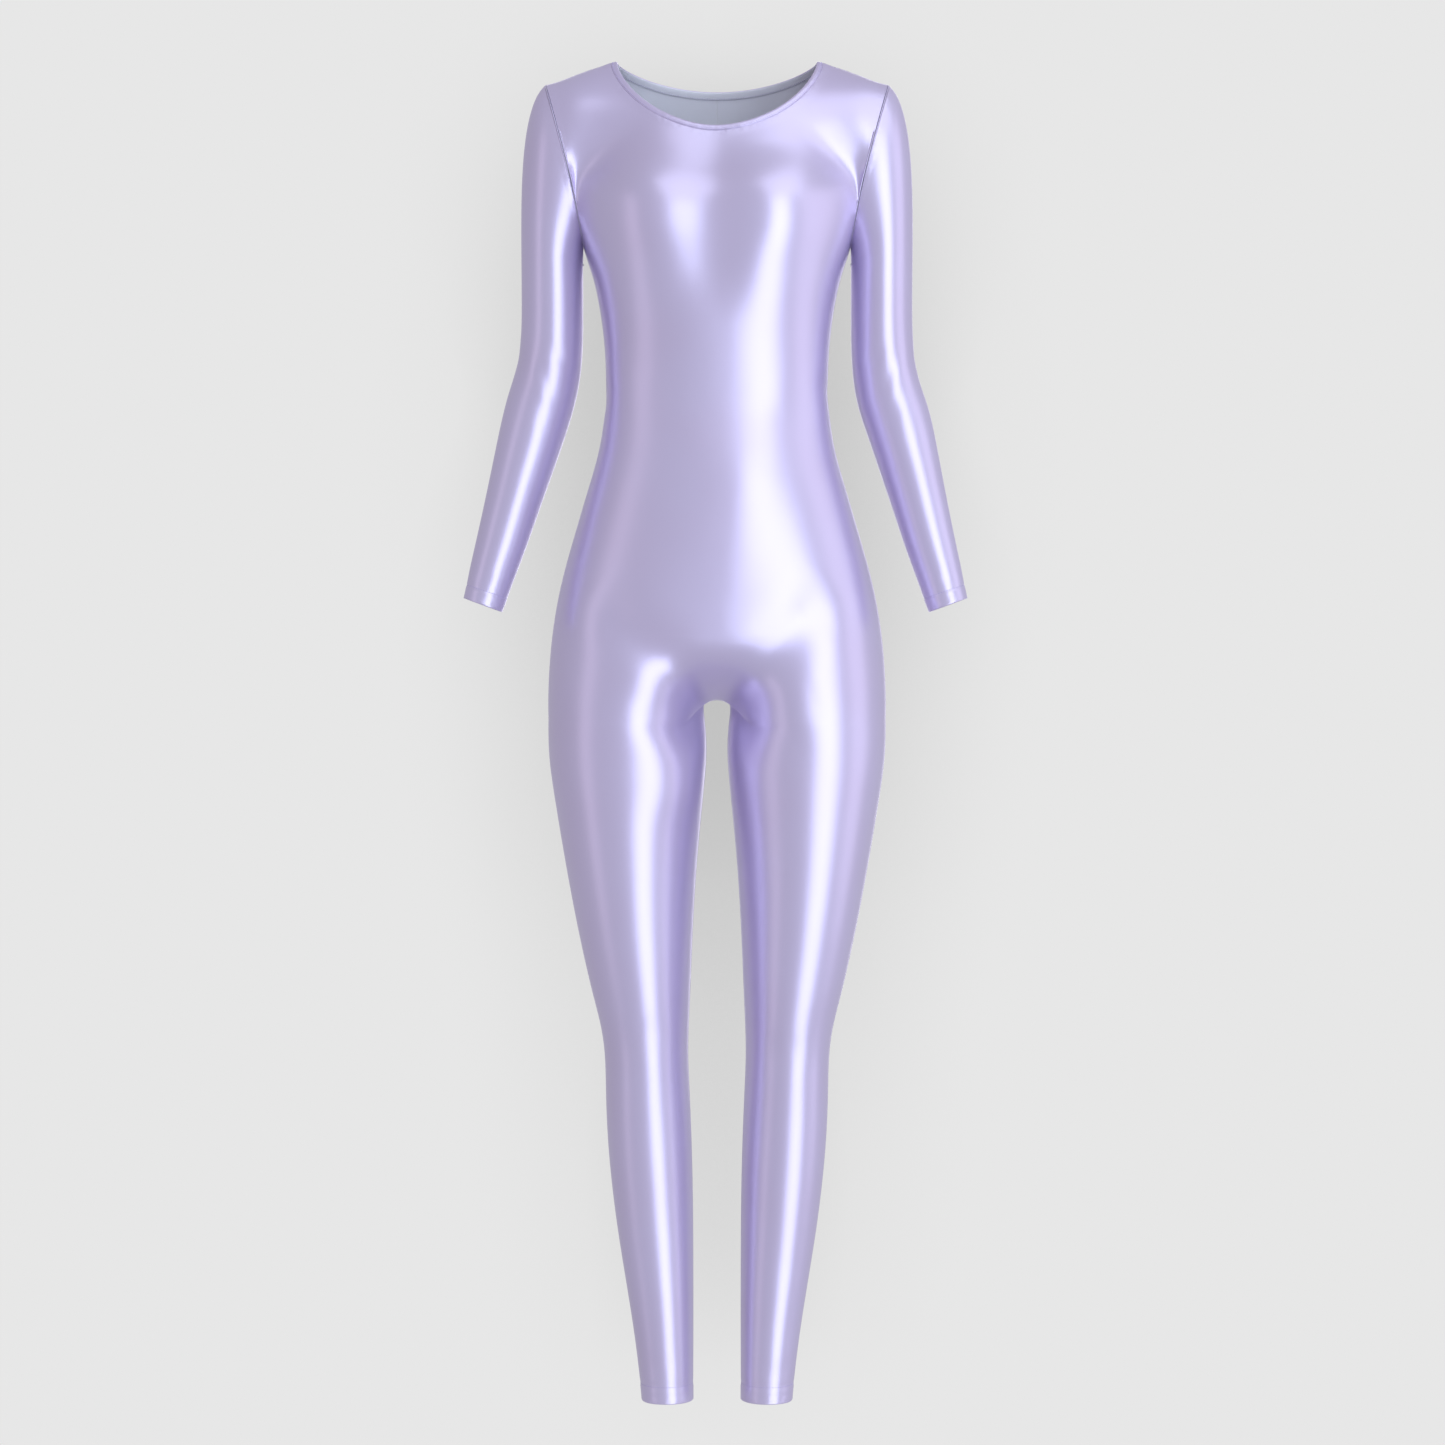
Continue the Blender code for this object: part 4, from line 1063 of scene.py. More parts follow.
@dataclass
class Cloth:
    """The walls of the suit's cloth pieces."""

    wall: float = 1.0
    hem_wall: float = 1.8
    seam_reach: float = 22.0
    hem_puff: float = 0.3
    stitch_press: float = 0.3
    stitch_raise: float = 0.12
    rim_in: float = 0.5
    fold_pull: float = -0.75
    fold_upright: float = 0.7
    fold_below: float = -500.0
    walk_rounds: int = 12

    def lift(self, surface: Surface, creases: tuple[Crease, ...], mirror: float = 1.0) -> Surface:
        """Give the surface with its creases pressed in.

        Args:
            surface: The smooth surface.
            creases: The creases to press in.
            mirror: -1 where the creases were drawn for the other side.

        Returns:
            The creased surface.
        """
        side = np.array([mirror, 1.0, 1.0])
        facing = surface.normals()
        height = creased(creases, surface.points * side, facing * side)
        points = surface.points + facing * height[:, None]
        return Surface(points, surface.quads, surface.panels, surface.zones)

    def border_pull(self, part: Surface, facing: np.ndarray, numbers: np.ndarray) -> np.ndarray:
        """Give the direction out of the piece, along the cloth, at each border point.

        Args:
            part: The cloth piece.
            facing: The direction outwards at each of its points.
            numbers: The border points to read.

        Returns:
            One direction of length one for each of those points.
        """
        start, end = part.walked_border().T
        along = part.points[end] - part.points[start]
        outward = np.cross(along, facing[start] + facing[end])
        total = np.zeros_like(part.points)
        np.add.at(total, start, unit(outward))
        np.add.at(total, end, unit(outward))
        return unit(total[numbers])

    def wall_object(
        self, name: str, fine: Surface, coarse: Surface, panel: Panel, slots: list[bpy.types.Material]
    ) -> bpy.types.Object:
        """Make one cloth piece: a fine outer face, a coarser inner face and the rolled edge between them.

        Args:
            name: The object's name.
            fine: The last refinement of the whole form.
            coarse: The refinement before it.
            panel: The cloth piece to make.
            slots: The outer and the inner finish.

        Returns:
            The piece's object.
        """
        outer, outer_numbers = chosen(fine, fine.panels == panel.value)
        inner, inner_numbers = chosen(coarse, coarse.panels == panel.value)
        rim = np.unique(outer.edges[outer.on_border].ravel())
        rings = self.rim_rings(outer, fine.normals()[outer_numbers], rim)
        points = outer.points.copy()
        points[rim] = rings[0]
        inner_points = self.inner_face(inner, coarse.normals()[inner_numbers])

        rolls = len(rings) - 1
        last_ring = len(points) + (rolls - 1) * len(rim)
        first_inner = last_ring + len(rim)
        last_at = {number: last_ring + place for place, number in enumerate(outer_numbers[rim])}
        outside = [tuple(quad) for quad in outer.quads] + self.rolled_faces(outer, rim, rolls)
        inside = self.joining_faces(inner, inner_numbers, coarse, last_at, first_inner)
        inside += [tuple(first_inner + corner for corner in quad[::-1]) for quad in inner.quads]
        kinds = [0] * len(outside) + [1] * len(inside)

        stacked = np.concatenate([points, *rings[1:], inner_points])
        piece = mesh_object(name, stacked, outside + inside, slots, kinds)
        self.write_seam_distance(piece, outer, rim)
        return piece

    def rim_rings(self, outer: Surface, facing: np.ndarray, rim: np.ndarray) -> list[np.ndarray]:
        """Give the rings of points over which the outer face rolls into its seams and folds into its hem.

        Args:
            outer: The piece's outer face.
            facing: The direction outwards at each of its points.
            rim: The numbers of its border points.

        Returns:
            The rings' places, from the outer face inwards.
        """
        pull = self.border_pull(outer, facing, rim)
        folded = np.isin(rim, self.hem_border(outer))[:, None]
        rings = []
        for fold, seam in zip(Edge.FOLD.value, Edge.SEAM.value):
            out, up = np.where(folded, fold[0], seam[0]), np.where(folded, fold[1], seam[1])
            rings.append(outer.points[rim] + pull * out + facing[rim] * up)
        return rings

    def inner_face(self, inner: Surface, facing: np.ndarray) -> np.ndarray:
        """Give the points of the inner face, a wall's thickness in and a little short of the rim.

        Args:
            inner: The piece's coarser surface.
            facing: The direction outwards at each of its points.

        Returns:
            One place for each of its points.
        """
        wall = np.where(self.in_hem(inner), self.hem_wall, self.wall)
        points = inner.points - facing * wall[:, None]
        rim = np.unique(inner.edges[inner.on_border].ravel())
        points[rim] -= self.border_pull(inner, facing, rim) * self.rim_in
        return points

    def rolled_faces(self, outer: Surface, rim: np.ndarray, rolls: int) -> list[tuple]:
        """Give the faces from the outer face's border down over the rings.

        Args:
            outer: The piece's outer face.
            rim: The numbers of its border points.
            rolls: How many rings follow the border.

        Returns:
            The corners of each face.
        """
        order = {number: place for place, number in enumerate(rim)}
        faces = []
        for start, end in outer.walked_border():
            last = (start, end)
            for step in range(rolls):
                first = len(outer.points) + step * len(rim)
                below = (first + order[start], first + order[end])
                faces.append((last[1], last[0], below[0], below[1]))
                last = below
        return faces

    def joining_faces(
        self, inner: Surface, numbers: np.ndarray, coarse: Surface, last_at: dict[int, int], first_inner: int
    ) -> list[tuple]:
        """Give the faces between the last ring and the inner face, which has half as many points round it.

        A refinement keeps the numbers of its points, and numbers the middles of the edges after them.

        Args:
            inner: The piece's coarser surface.
            numbers: The number of each of its points in the whole coarse form.
            coarse: The whole coarse form.
            last_at: The last ring's point for each number in the whole fine form.
            first_inner: The number of the inner face's first point.

        Returns:
            The corners of each face.
        """
        first_middle = len(coarse.points)
        middles = {tuple(edge): first_middle + place for place, edge in enumerate(coarse.edges.tolist())}
        faces = []
        for start, end in inner.walked_border():
            near, far = last_at[numbers[start]], last_at[numbers[end]]
            middle = last_at[middles[tuple(sorted((numbers[start], numbers[end])))]]
            low, high = first_inner + start, first_inner + end
            faces += [(middle, near, low), (middle, low, high), (far, middle, high)]
        return faces

    def in_hem(self, part: Surface) -> np.ndarray:
        """Say which points of a piece lie in its hem.

        Args:
            part: The cloth piece.

        Returns:
            True for each point in the hem.
        """
        inside = np.zeros(len(part.points), dtype=bool)
        inside[part.quads[part.zones == Zone.HEM.value].ravel()] = True
        return inside

    def hem_border(self, part: Surface) -> np.ndarray:
        """Give the points of a piece along the fold of its hem, without those on its seams.

        Args:
            part: The cloth piece.

        Returns:
            The numbers of those points.
        """
        border = np.unique(part.edges[part.on_border].ravel())
        both = np.intersect1d(np.flatnonzero(self.in_hem(part)), border)
        facing = part.normals()
        leads_down = self.border_pull(part, facing, both)[:, 2] < self.fold_pull
        upright = np.abs(facing[both][:, 2]) < self.fold_upright
        return both[leads_down & upright & (part.points[both][:, 2] < self.fold_below)]

    def write_seam_distance(self, piece: bpy.types.Object, outer: Surface, rim: np.ndarray) -> None:
        """Write each point's distance from the nearest seam, in millimetres, for the finish to read.

        Args:
            piece: The object to write it to.
            outer: Its outer face.
            rim: The numbers of its border points.
        """
        from_rim = np.full(len(piece.data.vertices), self.seam_reach)
        distance = np.full(len(outer.points), np.inf)
        distance[rim] = 0.0
        lengths = np.linalg.norm(outer.points[outer.edges[:, 0]] - outer.points[outer.edges[:, 1]], axis=1)
        start, end = outer.edges.T
        for _ in range(self.walk_rounds):
            np.minimum.at(distance, end, distance[start] + lengths)
            np.minimum.at(distance, start, distance[end] + lengths)
        from_rim[: len(distance)] = np.minimum(distance, self.seam_reach)
        ring_end = len(distance) + (len(Edge.FOLD.value) - 1) * len(rim)
        from_rim[len(distance) : ring_end] = 0.0
        layer = piece.data.attributes.new("seam_mm", "FLOAT", "POINT")
        layer.data.foreach_set("value", from_rim)


def chosen(surface: Surface, quads: np.ndarray) -> tuple[Surface, np.ndarray]:
    """Give part of a surface, and the number that each of its points had in the whole.

    Args:
        surface: The whole surface.
        quads: True for each quad to take.

    Returns:
        The part and the numbers.
    """
    numbers = np.unique(surface.quads[quads].ravel())
    renumber = np.zeros(len(surface.points), dtype=int)
    renumber[numbers] = np.arange(len(numbers))
    corners = renumber[surface.quads[quads]]
    return Surface(surface.points[numbers], corners, surface.panels[quads], surface.zones[quads]), numbers


def linked(name: str, data: bpy.types.ID) -> bpy.types.Object:
    """Make an object of its data and link it to the scene.

    Args:
        name: The object's name.
        data: Its mesh, light or camera.

    Returns:
        The object.
    """
    item = bpy.data.objects.new(name, data)
    bpy.context.scene.collection.objects.link(item)
    return item


def mesh_object(
    name: str, points: np.ndarray, faces: list[tuple], slots: list[bpy.types.Material], kinds: list[int]
) -> bpy.types.Object:
    """Make an object of a mesh, in metres, with a finish for each kind of face.

    Args:
        name: The object's name.
        points: The points, in millimetres.
        faces: The corners of each face.
        slots: The finishes.
        kinds: The finish's place in slots, for each face.

    Returns:
        The object, linked to the scene.
    """
    data = bpy.data.meshes.new(name)
    data.from_pydata((np.asarray(points) * MM).tolist(), [], [tuple(map(int, face)) for face in faces])
    for finish in slots:
        data.materials.append(finish)
    data.polygons.foreach_set("material_index", np.array(kinds, dtype=np.int32))
    data.shade_smooth()
    return linked(name, data)


def seam_edges(surface: Surface, values: np.ndarray) -> np.ndarray:
    """Give the edges between quads whose values differ.

    Args:
        surface: The surface.
        values: One value for each quad.

    Returns:
        Two point numbers for each edge.
    """
    low = np.full(len(surface.edges), np.iinfo(int).max)
    high = np.full(len(surface.edges), np.iinfo(int).min)
    np.minimum.at(low, surface.quad_edges.ravel(), np.repeat(values, 4))
    np.maximum.at(high, surface.quad_edges.ravel(), np.repeat(values, 4))
    return surface.edges[low != high]


def loops_of(edges: np.ndarray) -> list[np.ndarray]:
    """Chain edges into closed loops of point numbers.

    Args:
        edges: Two point numbers for each edge.

    Returns:
        The loops, each in order.
    """
    beside: dict[int, list[int]] = {}
    for start, end in edges.tolist():
        beside.setdefault(start, []).append(end)
        beside.setdefault(end, []).append(start)
    left = set(beside)
    loops = []
    while left:
        first = min(left)
        loop, at = [first], beside[first][0]
        left.discard(first)
        while at in left:
            loop.append(at)
            left.discard(at)
            at = next((other for other in beside[at] if other in left), first)
        loops.append(np.array(loop))
    return loops


def loop_stitching(name: str, surface: Surface, loop: np.ndarray, raised: float) -> Stitching:
    """Lay a stitch path along a loop of a surface, each stitch along the loop.

    Args:
        name: The row's name.
        surface: The surface.
        loop: The loop's point numbers.
        raised: How far the path lies above the surface.

    Returns:
        The path.
    """
    points = surface.points[loop]
    facing = surface.normals()[loop]
    along = unit(np.roll(points, -1, axis=0) - np.roll(points, 1, axis=0))
    return Stitching(name, points + facing * raised, along, facing)


@dataclass
class NeckBinding:
    """The strip folded over the neck edge, with its turn lying inside."""

    turned_in: float = -1.6
    from_seam: float = 3.0
    outside_row: tuple[float, float] = (4.5, 0.42)
    inside_row: tuple[float, float] = (7.0, 2.05)
    profile: tuple[tuple[float, float], ...] = (
        (5.35, -0.5), (5.85, 0.2), (5.5, 0.5), (4.6, 0.36), (3.9, 0.56), (2.6, 0.7), (1.3, 0.62), (0.4, 0.3),
        (-0.1, -0.35), (-0.15, -1.0), (0.25, -1.7), (1.3, -2.0), (3.2, -2.1), (6.2, -2.1), (7.0, -1.98),
        (7.8, -2.05), (8.2, -1.8), (8.15, -1.35), (6.8, -1.15), (5.5, -1.12),
    )

    def rim(self, fine: Surface) -> np.ndarray:
        """Give the point numbers of the neck edge, in order round it.

        Args:
            fine: The whole body's fine surface.

        Returns:
            The point numbers.
        """
        bound = np.zeros(len(fine.edges), dtype=bool)
        bound[fine.quad_edges[fine.panels == Panel.NECK_BINDING.value].ravel()] = True
        return loops_of(fine.edges[fine.on_border & bound])[0]

    def frames(self, fine: Surface) -> tuple[np.ndarray, np.ndarray, np.ndarray]:
        """Give the neck edge's places, with the ways down the cloth and outwards there.

        Args:
            fine: The whole body's fine surface.

        Returns:
            The places, the ways down and the ways outwards.
        """
        loop = self.rim(fine)
        points = fine.points[loop]
        facing = fine.normals()[loop]
        along = unit(np.roll(points, -1, axis=0) - np.roll(points, 1, axis=0))
        down = unit(np.cross(facing, along))
        middle = points.mean(axis=0)
        if np.sum(down * (points - middle)) < 0:
            down = -down
        return points, down, facing

    def build(self, fine: Surface, finishes: list[bpy.types.Material]) -> bpy.types.Object:
        """Make the binding's closed ring, with the second finish where the strip is turned in.

        Args:
            fine: The whole body's fine surface.
            finishes: The face and the back of the cloth.

        Returns:
            The binding's object.
        """
        points, down, facing = self.frames(fine)
        rings = [points + down * low + facing * out for low, out in self.profile]
        count, width = len(points), len(rings)
        lifts = [out for _, out in self.profile]
        inside = [max(lifts[step], lifts[(step + 1) % width]) < self.turned_in for step in range(width)]
        stacked = np.stack(rings, axis=1).reshape(-1, 3)
        faces = []
        for place in range(count):
            near, far = place * width, (place + 1) % count * width
            for step in range(width):
                above = (step + 1) % width
                faces.append((near + step, far + step, far + above, near + above))
        along = np.roll(points, -1, axis=0) - points
        turned = np.sum(np.cross(down, facing) * along) > 0
        faces = faces if turned else [face[::-1] for face in faces]
        piece = mesh_object("neck_binding_strip", stacked, faces, finishes, inside * count)
        layer = piece.data.attributes.new("seam_mm", "FLOAT", "POINT")
        layer.data.foreach_set("value", np.full(len(stacked), self.from_seam))
        return piece

    def stitching(self, fine: Surface) -> list[Stitching]:
        """Give the two rows of short stitches that hold the binding, outside and inside.

        Args:
            fine: The whole body's fine surface.

        Returns:
            The two paths.
        """
        points, down, facing = self.frames(fine)
        outside = points + down * self.outside_row[0] + facing * self.outside_row[1]
        inside = points + down * self.inside_row[0] - facing * self.inside_row[1]
        return [
            Stitching("neck_stitches_outside", outside, down, facing),
            Stitching("neck_stitches_inside", inside, down, -facing),
        ]


@dataclass
class StitchMaker:
    """Rows of thread stitches, laid along a path by a Geometry Nodes tree."""

    pitch: float = 3.0
    length: float = 2.3
    width: float = 0.5
    uneven: tuple[float, float] = (0.86, 1.1)
    seed: int = 7
    sockets: dict[str, str] = field(default_factory=dict)

    def tree(self) -> bpy.types.NodeTree:
        """Build the tree that lays one stitch at each step of the path.

        Returns:
            The tree.
        """
        tree = bpy.data.node_groups.new("stitch_row", "GeometryNodeTree")
        face = tree.interface
        face.new_socket("Geometry", in_out="INPUT", socket_type="NodeSocketGeometry")
        for name, kind in (
            ("Pitch", "NodeSocketFloat"), ("Stitch Length", "NodeSocketFloat"),
            ("Stitch Width", "NodeSocketFloat"), ("Seed", "NodeSocketInt"), ("Thread", "NodeSocketMaterial"),
        ):
            self.sockets[name] = face.new_socket(name, in_out="INPUT", socket_type=kind).identifier
        face.new_socket("Geometry", in_out="OUTPUT", socket_type="NodeSocketGeometry")

        given = add_node(tree, "NodeGroupInput")
        curve = add_node(tree, "GeometryNodeMeshToCurve", links={"Mesh": given.outputs["Geometry"]})
        steps = add_node(
            tree, "GeometryNodeResampleCurve", {"mode": "LENGTH"},
            {"Curve": curve.outputs["Curve"], "Length": given.outputs["Pitch"]},
        )
        lies, faces = (
            add_node(tree, "GeometryNodeInputNamedAttribute", {"data_type": "FLOAT_VECTOR", "Name": name})
            for name in ("lies", "faces")
        )
        along = add_node(
            tree, "FunctionNodeAlignRotationToVector", {"axis": "X"}, {"Vector": lies.outputs["Attribute"]}
        )
        upright = add_node(
            tree, "FunctionNodeAlignRotationToVector", {"axis": "Z", "pivot_axis": "X"},
            {"Rotation": along.outputs["Rotation"], "Vector": faces.outputs["Attribute"]},
        )
        stitch = add_node(tree, "GeometryNodeMeshIcoSphere", {"Radius": 0.5, "Subdivisions": 2})
        width = given.outputs["Stitch Width"]
        size = add_node(
            tree, "ShaderNodeCombineXYZ", {}, {"X": given.outputs["Stitch Length"], "Y": width, "Z": width}
        )
        uneven = add_node(
            tree, "FunctionNodeRandomValue",
            {"data_type": "FLOAT", "Min": self.uneven[0], "Max": self.uneven[1]},
            {"Seed": given.outputs["Seed"]},
        )
        scale = add_node(
            tree, "ShaderNodeVectorMath", {"operation": "SCALE"},
            {"Vector": size.outputs["Vector"], "Scale": uneven.outputs[1]},
        )
        laid = add_node(
            tree, "GeometryNodeInstanceOnPoints", {},
            {
                "Points": steps.outputs["Curve"], "Instance": stitch.outputs["Mesh"],
                "Rotation": upright.outputs["Rotation"], "Scale": scale.outputs["Vector"],
            },
        )
        real = add_node(tree, "GeometryNodeRealizeInstances", {}, {"Geometry": laid.outputs["Instances"]})
        threaded = add_node(
            tree, "GeometryNodeSetMaterial", {},
            {"Geometry": real.outputs["Geometry"], "Material": given.outputs["Thread"]},
        )
        add_node(tree, "NodeGroupOutput", {}, {"Geometry": threaded.outputs["Geometry"]})
        return tree

    def row(self, tree: bpy.types.NodeTree, path: Stitching, thread: bpy.types.Material) -> bpy.types.Object:
        """Lay one closed row of stitches and turn it into a plain mesh.

        Args:
            tree: The tree that lays stitches.
            path: Where the stitches go.
            thread: The thread's finish.

        Returns:
            The row's object.
        """
        data = bpy.data.meshes.new(path.name + "_path")
        count = len(path.points)
        data.from_pydata((path.points * MM).tolist(), [(i, (i + 1) % count) for i in range(count)], [])
        for name, values in (("lies", path.lies), ("faces", path.faces)):
            layer = data.attributes.new(name, "FLOAT_VECTOR", "POINT")
            layer.data.foreach_set("vector", values.astype(np.float32).ravel())
        guide = linked(path.name + "_path", data)
        maker = guide.modifiers.new("stitches", "NODES")
        maker.node_group = tree
        maker[self.sockets["Pitch"]] = self.pitch * MM
        maker[self.sockets["Stitch Length"]] = self.length * MM
        maker[self.sockets["Stitch Width"]] = self.width * MM
        maker[self.sockets["Seed"]] = self.seed
        maker[self.sockets["Thread"]] = thread
        laid = guide.evaluated_get(bpy.context.evaluated_depsgraph_get())
        mesh = bpy.data.meshes.new_from_object(laid)
        mesh.name = path.name
        mesh.shade_smooth()
        guide.modifiers.clear()
        bpy.data.objects.remove(guide)
        return linked(path.name, mesh)


def add_node(
    tree: bpy.types.NodeTree, kind: str, settings: dict | None = None, links: dict | None = None
) -> bpy.types.Node:
    """Add a node with its settings and links.

    Args:
        tree: The tree to add it to.
        kind: The node's type.
        settings: Values by the name of a property or an input.
        links: Sockets to link from, by the name or number of the input.

    Returns:
        The new node.
    """
    node = tree.nodes.new(kind)
    for name, value in (settings or {}).items():
        if name in node.bl_rna.properties:
            setattr(node, name, value)
        else:
            node.inputs[name].default_value = value
    for name, source in (links or {}).items():
        tree.links.new(source, node.inputs[name])
    return node


def linear(code: str) -> tuple[float, float, float, float]:
    """Turn an sRGB hex colour into a linear one."""
    parts = [int(code[i : i + 2], 16) / 255.0 for i in (1, 3, 5)]
    return tuple([p / 12.92 if p <= 0.04045 else ((p + 0.055) / 1.055) ** 2.4 for p in parts] + [1.0])


def blank_material(name: str) -> bpy.types.Material:
    """Make a material with an empty tree of nodes.

    Args:
        name: The material's name.

    Returns:
        The material.
    """
    material = bpy.data.materials.new(name)
    material.use_nodes = True
    material.node_tree.nodes.clear()
    return material


# A wave texture of scale 1 has about this many bands to the metre.
WAVE_BANDS = 3.1416


@dataclass(frozen=True)
class TricotFinish:
    """Warp-knit nylon-spandex tricot: filament yarn under tension, so it shines like brushed satin."""

    name: str
    colour: str
    deep: str
    metallic: float
    roughness: float
    sheen: float
    coat: float
    course_mm: float = 1.6
    grain_mm: float = 0.9
    pull_mm: float = 90.0
    pucker_mm: float = 7.0
    seam_mm: tuple[float, float] = (11.0, 1.0)
    uneven_gloss: tuple[float, float] = (-0.015, 0.025)
    sheen_tint: str = "#E9E2FF"

    def build(self) -> bpy.types.Material:
        """Build the knit's material.

        The real courses are 0.4 mm apart, too fine to show, so they are drawn at course_mm and kept faint.
        They break the gloss a little along Z. A wide, slow noise gives the uneven pull of stretched cloth,
        and close to a seam a shorter one gives its pucker.

        Returns:
            The material.
        """
        material = blank_material(self.name)
        tree = material.node_tree
        place = add_node(tree, "ShaderNodeTexCoord")
        seam = add_node(tree, "ShaderNodeAttribute", {"attribute_name": "seam_mm"})
        grain = add_node(
            tree, "ShaderNodeTexNoise", {"Scale": 1000.0 / self.grain_mm, "Detail": 2.0, "Roughness": 0.6},
            {"Vector": place.outputs["Object"]},
        )
        courses = add_node(
            tree, "ShaderNodeTexWave",
            {
                "bands_direction": "Z", "Scale": 1000.0 / self.course_mm / WAVE_BANDS,
                "Distortion": 0.6, "Detail": 1.0,
            },
            {"Vector": place.outputs["Object"]},
        )
        pull = add_node(
            tree, "ShaderNodeTexNoise", {"Scale": 1000.0 / self.pull_mm, "Detail": 1.5, "Roughness": 0.45},
            {"Vector": place.outputs["Object"]},
        )
        pucker = add_node(
            tree, "ShaderNodeTexNoise", {"Scale": 1000.0 / self.pucker_mm, "Detail": 1.0, "Roughness": 0.4},
            {"Vector": place.outputs["Object"]},
        )
        near_seam = add_node(
            tree, "ShaderNodeMapRange",
            {"interpolation_type": "SMOOTHSTEP", "From Min": self.seam_mm[0], "From Max": self.seam_mm[1]},
            {"Value": seam.outputs["Fac"]},
        )
        tone = add_node(
            tree, "ShaderNodeMapRange", {"From Min": 0.35, "From Max": 0.65, "To Min": 0.0, "To Max": 0.3},
            {"Value": pull.outputs["Fac"]},
        )
        colour = add_node(tree, "ShaderNodeMix", {"data_type": "RGBA"}, {0: tone.outputs["Result"]})
        colour.inputs[6].default_value = linear(self.colour)
        colour.inputs[7].default_value = linear(self.deep)
        smoother, rougher = (self.roughness + change for change in self.uneven_gloss)
        gloss = add_node(
            tree, "ShaderNodeMapRange",
            {"From Min": 0.3, "From Max": 0.7, "To Min": smoother, "To Max": rougher},
            {"Value": grain.outputs["Fac"]},
        )
        weave = add_node(
            tree, "ShaderNodeMath", {"operation": "ADD"},
            {0: grain.outputs["Fac"], 1: courses.outputs["Fac"]},
        )
        fine = add_node(
            tree, "ShaderNodeBump", {"Strength": 0.1, "Distance": 0.00006}, {"Height": weave.outputs["Value"]}
        )
        drawn = add_node(
            tree, "ShaderNodeMath", {"operation": "MULTIPLY"},
            {0: pucker.outputs["Fac"], 1: near_seam.outputs["Result"]},
        )
        puckered = add_node(
            tree, "ShaderNodeBump", {"Strength": 0.5, "Distance": 0.0011},
            {"Height": drawn.outputs["Value"], "Normal": fine.outputs["Normal"]},
        )
        slow = add_node(
            tree, "ShaderNodeBump", {"Strength": 0.35, "Distance": 0.003},
            {"Height": pull.outputs["Fac"], "Normal": puckered.outputs["Normal"]},
        )
        shader = add_node(
            tree, "ShaderNodeBsdfPrincipled",
            {
                "Metallic": self.metallic, "Sheen Weight": self.sheen, "Sheen Roughness": 0.4,
                "Sheen Tint": linear(self.sheen_tint), "Coat Weight": self.coat, "Coat Roughness": 0.24,
                "IOR": 1.53,
            },
            {
                "Base Color": colour.outputs[2], "Roughness": gloss.outputs["Result"],
                "Normal": slow.outputs["Normal"],
            },
        )
        add_node(tree, "ShaderNodeOutputMaterial", {}, {"Surface": shader.outputs["BSDF"]})
        return material


@dataclass(frozen=True)
class ThreadFinish:
    """Textured polyester sewing thread: twisted filaments with a soft shine."""

    name: str
    colour: str
    roughness: float = 0.5
    twist_mm: float = 0.5

    def build(self) -> bpy.types.Material:
        """Build the thread's material; its twist shows as fine bands that catch the light.

        Returns:
            The material.
        """
        material = blank_material(self.name)
        tree = material.node_tree
        place = add_node(tree, "ShaderNodeTexCoord")
        twist = add_node(
            tree, "ShaderNodeTexWave",
            {"bands_direction": "DIAGONAL", "Scale": 1000.0 / self.twist_mm / WAVE_BANDS, "Distortion": 0.4},
            {"Vector": place.outputs["Object"]},
        )
        bump = add_node(
            tree, "ShaderNodeBump", {"Strength": 0.3, "Distance": 0.0001}, {"Height": twist.outputs["Fac"]}
        )
        shader = add_node(
            tree, "ShaderNodeBsdfPrincipled",
            {"Base Color": linear(self.colour), "Roughness": self.roughness, "Sheen Weight": 0.3},
            {"Normal": bump.outputs["Normal"]},
        )
        add_node(tree, "ShaderNodeOutputMaterial", {}, {"Surface": shader.outputs["BSDF"]})
        return material


@dataclass(frozen=True)
class SoftBox:
    """A soft rectangular studio light, placed by its bearing from the suit."""

    name: str
    bearing: float
    rise: float
    away: float
    width: float
    height: float
    watts: float
    colour: str = "#FFFFFF"
    aim_z: float = -0.69

    def build(self) -> None:
        """Put the light into the scene, facing the suit."""
        light = bpy.data.lights.new(self.name, "AREA")
        light.shape = "RECTANGLE"
        light.size, light.size_y = self.width, self.height
        light.energy = self.watts
        light.color = linear(self.colour)[:3]
        lamp = linked(self.name, light)
        bearing, rise = np.radians(self.bearing), np.radians(self.rise)
        aim = Vector((0.0, 0.0, self.aim_z))
        way = Vector((np.sin(bearing) * np.cos(rise), -np.cos(bearing) * np.cos(rise), np.sin(rise)))
        lamp.location = aim + way * self.away
        lamp.rotation_euler = (-way).to_track_quat("-Z", "Y").to_euler()


